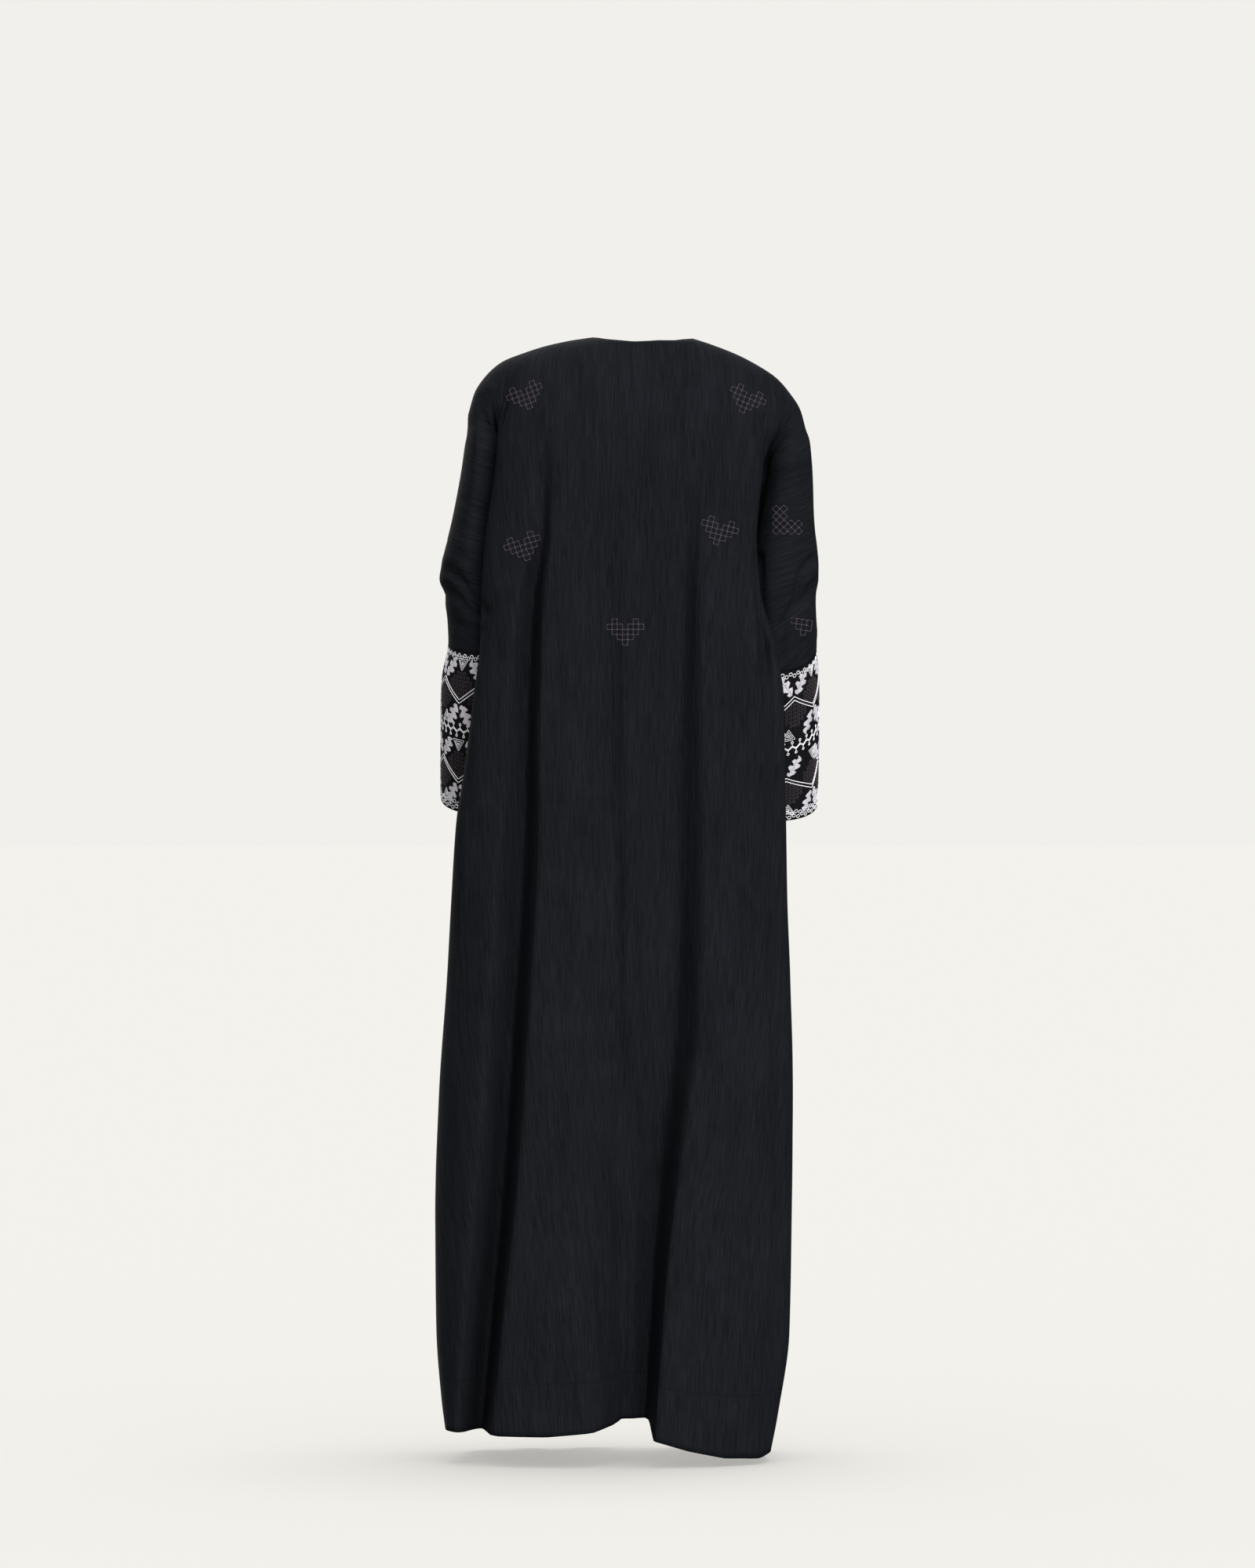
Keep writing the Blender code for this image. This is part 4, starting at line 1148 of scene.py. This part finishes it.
def on_cuff(side, flat):
    """Points of the flat cuff laid on the worn one, and the way out of the cloth there."""
    grid = cuff_grids[side]
    rows, columns = grid.shape[0] - 1, grid.shape[1] - 1
    flat = np.asarray(flat, dtype=float) * MM
    around, depth = flat[..., 0] / CUFF_FLAT[0], flat[..., 1] / CUFF_DROP[side]
    sag = SAG[side] * MM / CUFF_DROP[side] * np.sin(math.pi * np.clip(depth, 0, 1))
    depth = depth + sag * (SAG_LEVEL - np.cos(4 * math.pi * around))
    across = np.mod(around, 1.0) * columns
    down = np.clip(depth, 0, 0.9999) * rows
    c, r = np.minimum(across.astype(int), columns - 1), np.minimum(down.astype(int), rows - 1)
    u, v = (across - c)[..., None], (down - r)[..., None]
    a, b, d, e = grid[r, c], grid[r, c + 1], grid[r + 1, c], grid[r + 1, c + 1]
    point = a * (1 - u) * (1 - v) + b * u * (1 - v) + d * (1 - u) * v + e * u * v
    out = np.cross((b - a) * (1 - v) + (e - d) * v, (d - a) * (1 - u) + (e - b) * u)
    out /= np.linalg.norm(out, axis=-1)[..., None]
    middle = grid[:, :-1].mean(axis=1)[r]
    out *= np.where(np.sum((point - middle) * out, axis=-1) > 0, 1, -1)[..., None]
    return point + out * CLOTH_THICKNESS / 2, out


def chain(path, step, overlap):
    """Short stitches one after another along a path on the flat cuff."""
    path = np.array(path, dtype=float)
    along = travelled(path)
    count = max(1, int(round(along[-1] / step)))
    ticks = np.linspace(0, along[-1], count + 1)
    places = np.stack([np.interp(ticks, along, path[:, i]) for i in range(2)], axis=-1)
    grow = (places[1:] - places[:-1]) * overlap
    return list(zip(places[:-1] - grow, places[1:] + grow))


def leaf(foot, lean, down, wobble):
    """Satin stitches of one leaf, which slope forward from its middle line.

    The leaf is narrow at its foot and its tip. Each side is cut into lobes, which alternate.
    """
    way = np.array((math.sin(lean), math.cos(lean) * (1 if down else -1)))
    beside = np.array((way[1], -way[0]))
    (foot_width, foot_growth), (tip_width, tip_growth) = LEAF_SHAPE
    stitches = []
    for i in range(LEAF_ROWS):
        share = (i + 0.5) / LEAF_ROWS
        middle = foot + way * (LEAF_LENGTH * share - 1.0)
        shape = min(1.0, foot_width + foot_growth * share) * min(1.0, tip_width + tip_growth * (1 - share))
        for hand in (-1, 1):
            phase = (share * LEAF_LOBES + (0.0 if hand > 0 else LOBES_APART)) % 1.0
            rise = min(1.0, max(0.0, LOBE_STEEPNESS * (min(phase, 1 - phase) - LOBE_GAP)))
            lobe = LOBE_NECK + (1 - LOBE_NECK) * rise
            width = LEAF_HALF * shape * lobe * wobble.uniform(*UNEVEN)
            tip = middle + beside * hand * width + way * (STITCH_SLANT * width)
            stitches.append((middle - beside * hand * 0.2, tip))
    return stitches


def chain_ring(x, y, radius, stitches):
    """A small loop of chain."""
    turn = np.linspace(0, 2 * math.pi, stitches + 1)
    loop = np.stack((x + radius * np.cos(turn), y + radius * np.sin(turn)), axis=-1)
    return chain(loop, step=2 * math.pi * radius / stitches, overlap=0.16)


def lattice(x, y):
    """Plum squares outlined in thread, which fill the diamond between the zigzags."""
    corners = SQUARE_HALF * np.array(((-1, -1), (1, -1), (1, 1), (-1, 1), (-1, -1)))
    steps = range(-DIAMOND_HALF, DIAMOND_HALF + 1)
    stitches = []
    for i in steps:
        for j in steps:
            if abs(i) + abs(j) <= DIAMOND_HALF + 1:
                square = corners + (x + i * SQUARES, y + j * SQUARES)
                stitches += list(zip(square[:-1], square[1:]))
    return stitches


for side in SIGN:
    wobble = random.Random(5 if side == "left" else 6)
    around = CUFF_FLAT[0] / MM
    wrist = CUFF_DROP[side] / MM
    pitch = around / REPEATS
    white, fine, outline, lilac, plum = [], [], [], [], []
    for peak, vee, slip in ZIGZAGS[side]:
        for gap in (-LINE_GAP, LINE_GAP):
            turns = []
            for k in range(REPEATS):
                turns.append((START_AROUND[side] + pitch * k + slip, peak + gap))
                turns.append((START_AROUND[side] + pitch * (k + 0.5), vee + gap))
            turns.append((START_AROUND[side] + around + slip, peak + gap))
            white += chain(turns, CHAIN_STEP, overlap=0.18)
    rows = (TOP_RINGS, *((wrist - row[0], *row[1:]) for row in WRIST_RINGS))
    for number, (depth, radius, step, shift) in enumerate(rows):
        count = round(around / step / 2) * 2
        for k in range(count):
            x = (k + number / 2) * around / count
            fine += chain_ring(x, depth + (shift if k % 2 else -shift), radius, stitches=8)
    wave, step = MIDDLE_BRAID
    braid = BRAID_DEPTH[side]
    count = round(around / step)
    turn = np.linspace(0, 2 * math.pi * count, count * 10)
    x = turn / (2 * math.pi) * around / count
    for shift in BRAID_STRANDS:
        strand = np.stack((x, braid + shift + wave * np.sin(turn)), axis=-1)
        fine += chain(strand, step=1.8, overlap=0.25)
    for k in range(2 * count):
        x = (k + 0.5) / 2 * around / count
        way = 1 if k % 2 == 0 else -1
        stalk = [(x, braid + way * wave), (x, braid + way * (wave + STALK))]
        fine += chain(stalk, step=1.5, overlap=0.3)
        fine += chain_ring(x, braid + way * (wave + BUD_AWAY), BUD_RADIUS, stitches=7)
    for k in range(REPEATS):
        peak_x = START_AROUND[side] + pitch * k
        vee_x = peak_x + pitch / 2
        for peak, vee, slip in ZIGZAGS[side]:
            for lean in (-LEAF_LEAN, LEAF_LEAN):
                beside = math.copysign(LEAF_FOOT[0], lean)
                lilac += leaf(np.array((peak_x + slip + beside, peak - LEAF_FOOT[1])), lean, False, wobble)
                lean *= LOWER_LEAN_SHARE
                lilac += leaf(np.array((vee_x + beside, vee + LEAF_FOOT[1])), lean, True, wobble)
            spots = ((vee_x, vee - TRIANGLE_AWAY, 1), (peak_x + TRIANGLE_SHIFT, peak + TRIANGLE_AWAY, -1))
            for x, y, point in spots:
                if y > wrist - WRIST_CLEAR:
                    continue
                for size in TRIANGLE_SIZES:
                    w, h = TRIANGLE[0] / 2 * size, TRIANGLE[1] / 2 * size * point
                    corners = [(x - w, y - 0.8 * h), (x + w, y - 0.8 * h), (x, y + 1.2 * h)]
                    outline += chain(corners + corners[:1], step=2.0, overlap=0.12)
            plum += lattice(vee_x, (peak + vee) / 2 - DIAMOND_SHIFT)
            plum += lattice(peak_x + slip / 2, (peak + vee) / 2 + DIAMOND_SHIFT)
    counts = (len(white), len(fine), len(outline))
    white_radii = np.repeat((WHITE_RADIUS, FINE_RADIUS, OUTLINE_RADIUS), counts)
    for name, stitches, radius, sides, material in (
            ("white_embroidery", white + fine + outline, white_radii, 4, white_thread),
            ("lilac_leaves", lilac, LEAF_RADIUS, 5, lilac_thread),
            ("plum_squares", plum, PLUM_RADIUS, 4, plum_thread)):
        starts, ups = on_cuff(side, [a for a, b in stitches])
        ends, more_ups = on_cuff(side, [b for a, b in stitches])
        radii = np.broadcast_to(radius, (len(starts),)) * MM
        keep = np.linalg.norm(ends - starts, axis=1) > SHORTEST_STITCH
        sew("cuff_" + side + "_" + name, starts[keep], ends[keep], (ups + more_ups)[keep], radii[keep], sides,
            material, "cuff_cloth")

# The floor and the light
# A plain pale floor below the hem and plain pale light all round. A soft key lamp behind the camera, a
# little to the right, and a weak one in front light the garment alone. Two broad lamps overhead light
# the floor alone, one of them without a shadow, so the hem's shadow stays faint.
BACKDROP = (0.880, 0.872, 0.839)
FLOOR_COLOUR = (0.850, 0.842, 0.811)
FLOOR_BOUNCE = 0.30
FLOOR_Z = -1.508
FLOOR_CORNERS = ((-60, -90), (60, -90), (60, 20), (-60, 20))
ROOM_GLOW = 0.40
KEY_STRENGTH = 4.8
KEY_ANGLE = math.radians(55)
KEY_WAY = (1.15, -3.3, -1.85)
FRONT_STRENGTH = 3.2
FRONT_WAY = (-1.2, 3.2, -1.6)
OVERHEAD_STRENGTH = 0.80
FLOOR_FILL_STRENGTH = 1.42
OVERHEAD_ANGLE = math.radians(30)
OVERHEAD_WAY = (0.08, 0.10, -1.0)
bpy.context.scene.view_settings.view_transform = "Standard"


def by_ray(tree, to_camera, to_others, surface):
    """Shows one shader to the camera and another to every other ray."""
    choice = tree.nodes.new("ShaderNodeMixShader")
    path = tree.nodes.new("ShaderNodeLightPath")
    tree.links.new(path.outputs["Is Camera Ray"], choice.inputs["Fac"])
    tree.links.new(to_others, choice.inputs[1])
    tree.links.new(to_camera, choice.inputs[2])
    tree.links.new(choice.outputs["Shader"], surface)


world = bpy.data.worlds.new("room")
world.use_nodes = True
nodes = world.node_tree.nodes
seen = nodes["Background"]
seen.inputs["Color"].default_value = (*BACKDROP, 1)
glow = nodes.new("ShaderNodeBackground")
glow.inputs["Color"].default_value = (*BACKDROP, 1)
glow.inputs["Strength"].default_value = ROOM_GLOW
by_ray(world.node_tree, seen.outputs["Background"], glow.outputs["Background"],
       nodes["World Output"].inputs["Surface"])
bpy.context.scene.world = world
floor_mesh = bpy.data.meshes.new("floor")
corners = [(x, y, FLOOR_Z) for x, y in FLOOR_CORNERS]
floor_mesh.from_pydata(corners, [], [(0, 1, 2, 3)])
floor = add_object("floor", floor_mesh)
floor_material = bpy.data.materials.new("pale_floor")
floor_material.use_nodes = True
nodes = floor_material.node_tree.nodes
floor_shader = nodes["Principled BSDF"]
for socket, value in (("Base Color", (*FLOOR_COLOUR, 1)), ("Roughness", 1.0), ("Specular IOR Level", 0.0)):
    floor_shader.inputs[socket].default_value = value
bounce = nodes.new("ShaderNodeBsdfDiffuse")
bounce.inputs["Color"].default_value = (FLOOR_BOUNCE, FLOOR_BOUNCE, FLOOR_BOUNCE, 1)
by_ray(floor_material.node_tree, floor_shader.outputs["BSDF"], bounce.outputs["BSDF"],
       nodes["Material Output"].inputs["Surface"])
floor_mesh.materials.append(floor_material)

for name, strength, angle, way, state, shadow in (
        ("key_lamp", KEY_STRENGTH, KEY_ANGLE, KEY_WAY, "EXCLUDE", True),
        ("front_lamp", FRONT_STRENGTH, KEY_ANGLE, FRONT_WAY, "EXCLUDE", True),
        ("overhead_lamp", OVERHEAD_STRENGTH, OVERHEAD_ANGLE, OVERHEAD_WAY, "INCLUDE", True),
        ("floor_lamp", FLOOR_FILL_STRENGTH, OVERHEAD_ANGLE, OVERHEAD_WAY, "INCLUDE", False)):
    lamp_data = bpy.data.lights.new(name, "SUN")
    lamp_data.energy = strength
    lamp_data.angle = angle
    lamp_data.use_shadow = shadow
    lamp = add_object(name, lamp_data)
    lamp.rotation_euler = Vector(way).to_track_quat("-Z", "Y").to_euler()
    lit = bpy.data.collections.new(name + "_floor")
    lit.objects.link(floor)
    lit.collection_objects[0].light_linking.link_state = state
    lamp.light_linking.receiver_collection = lit
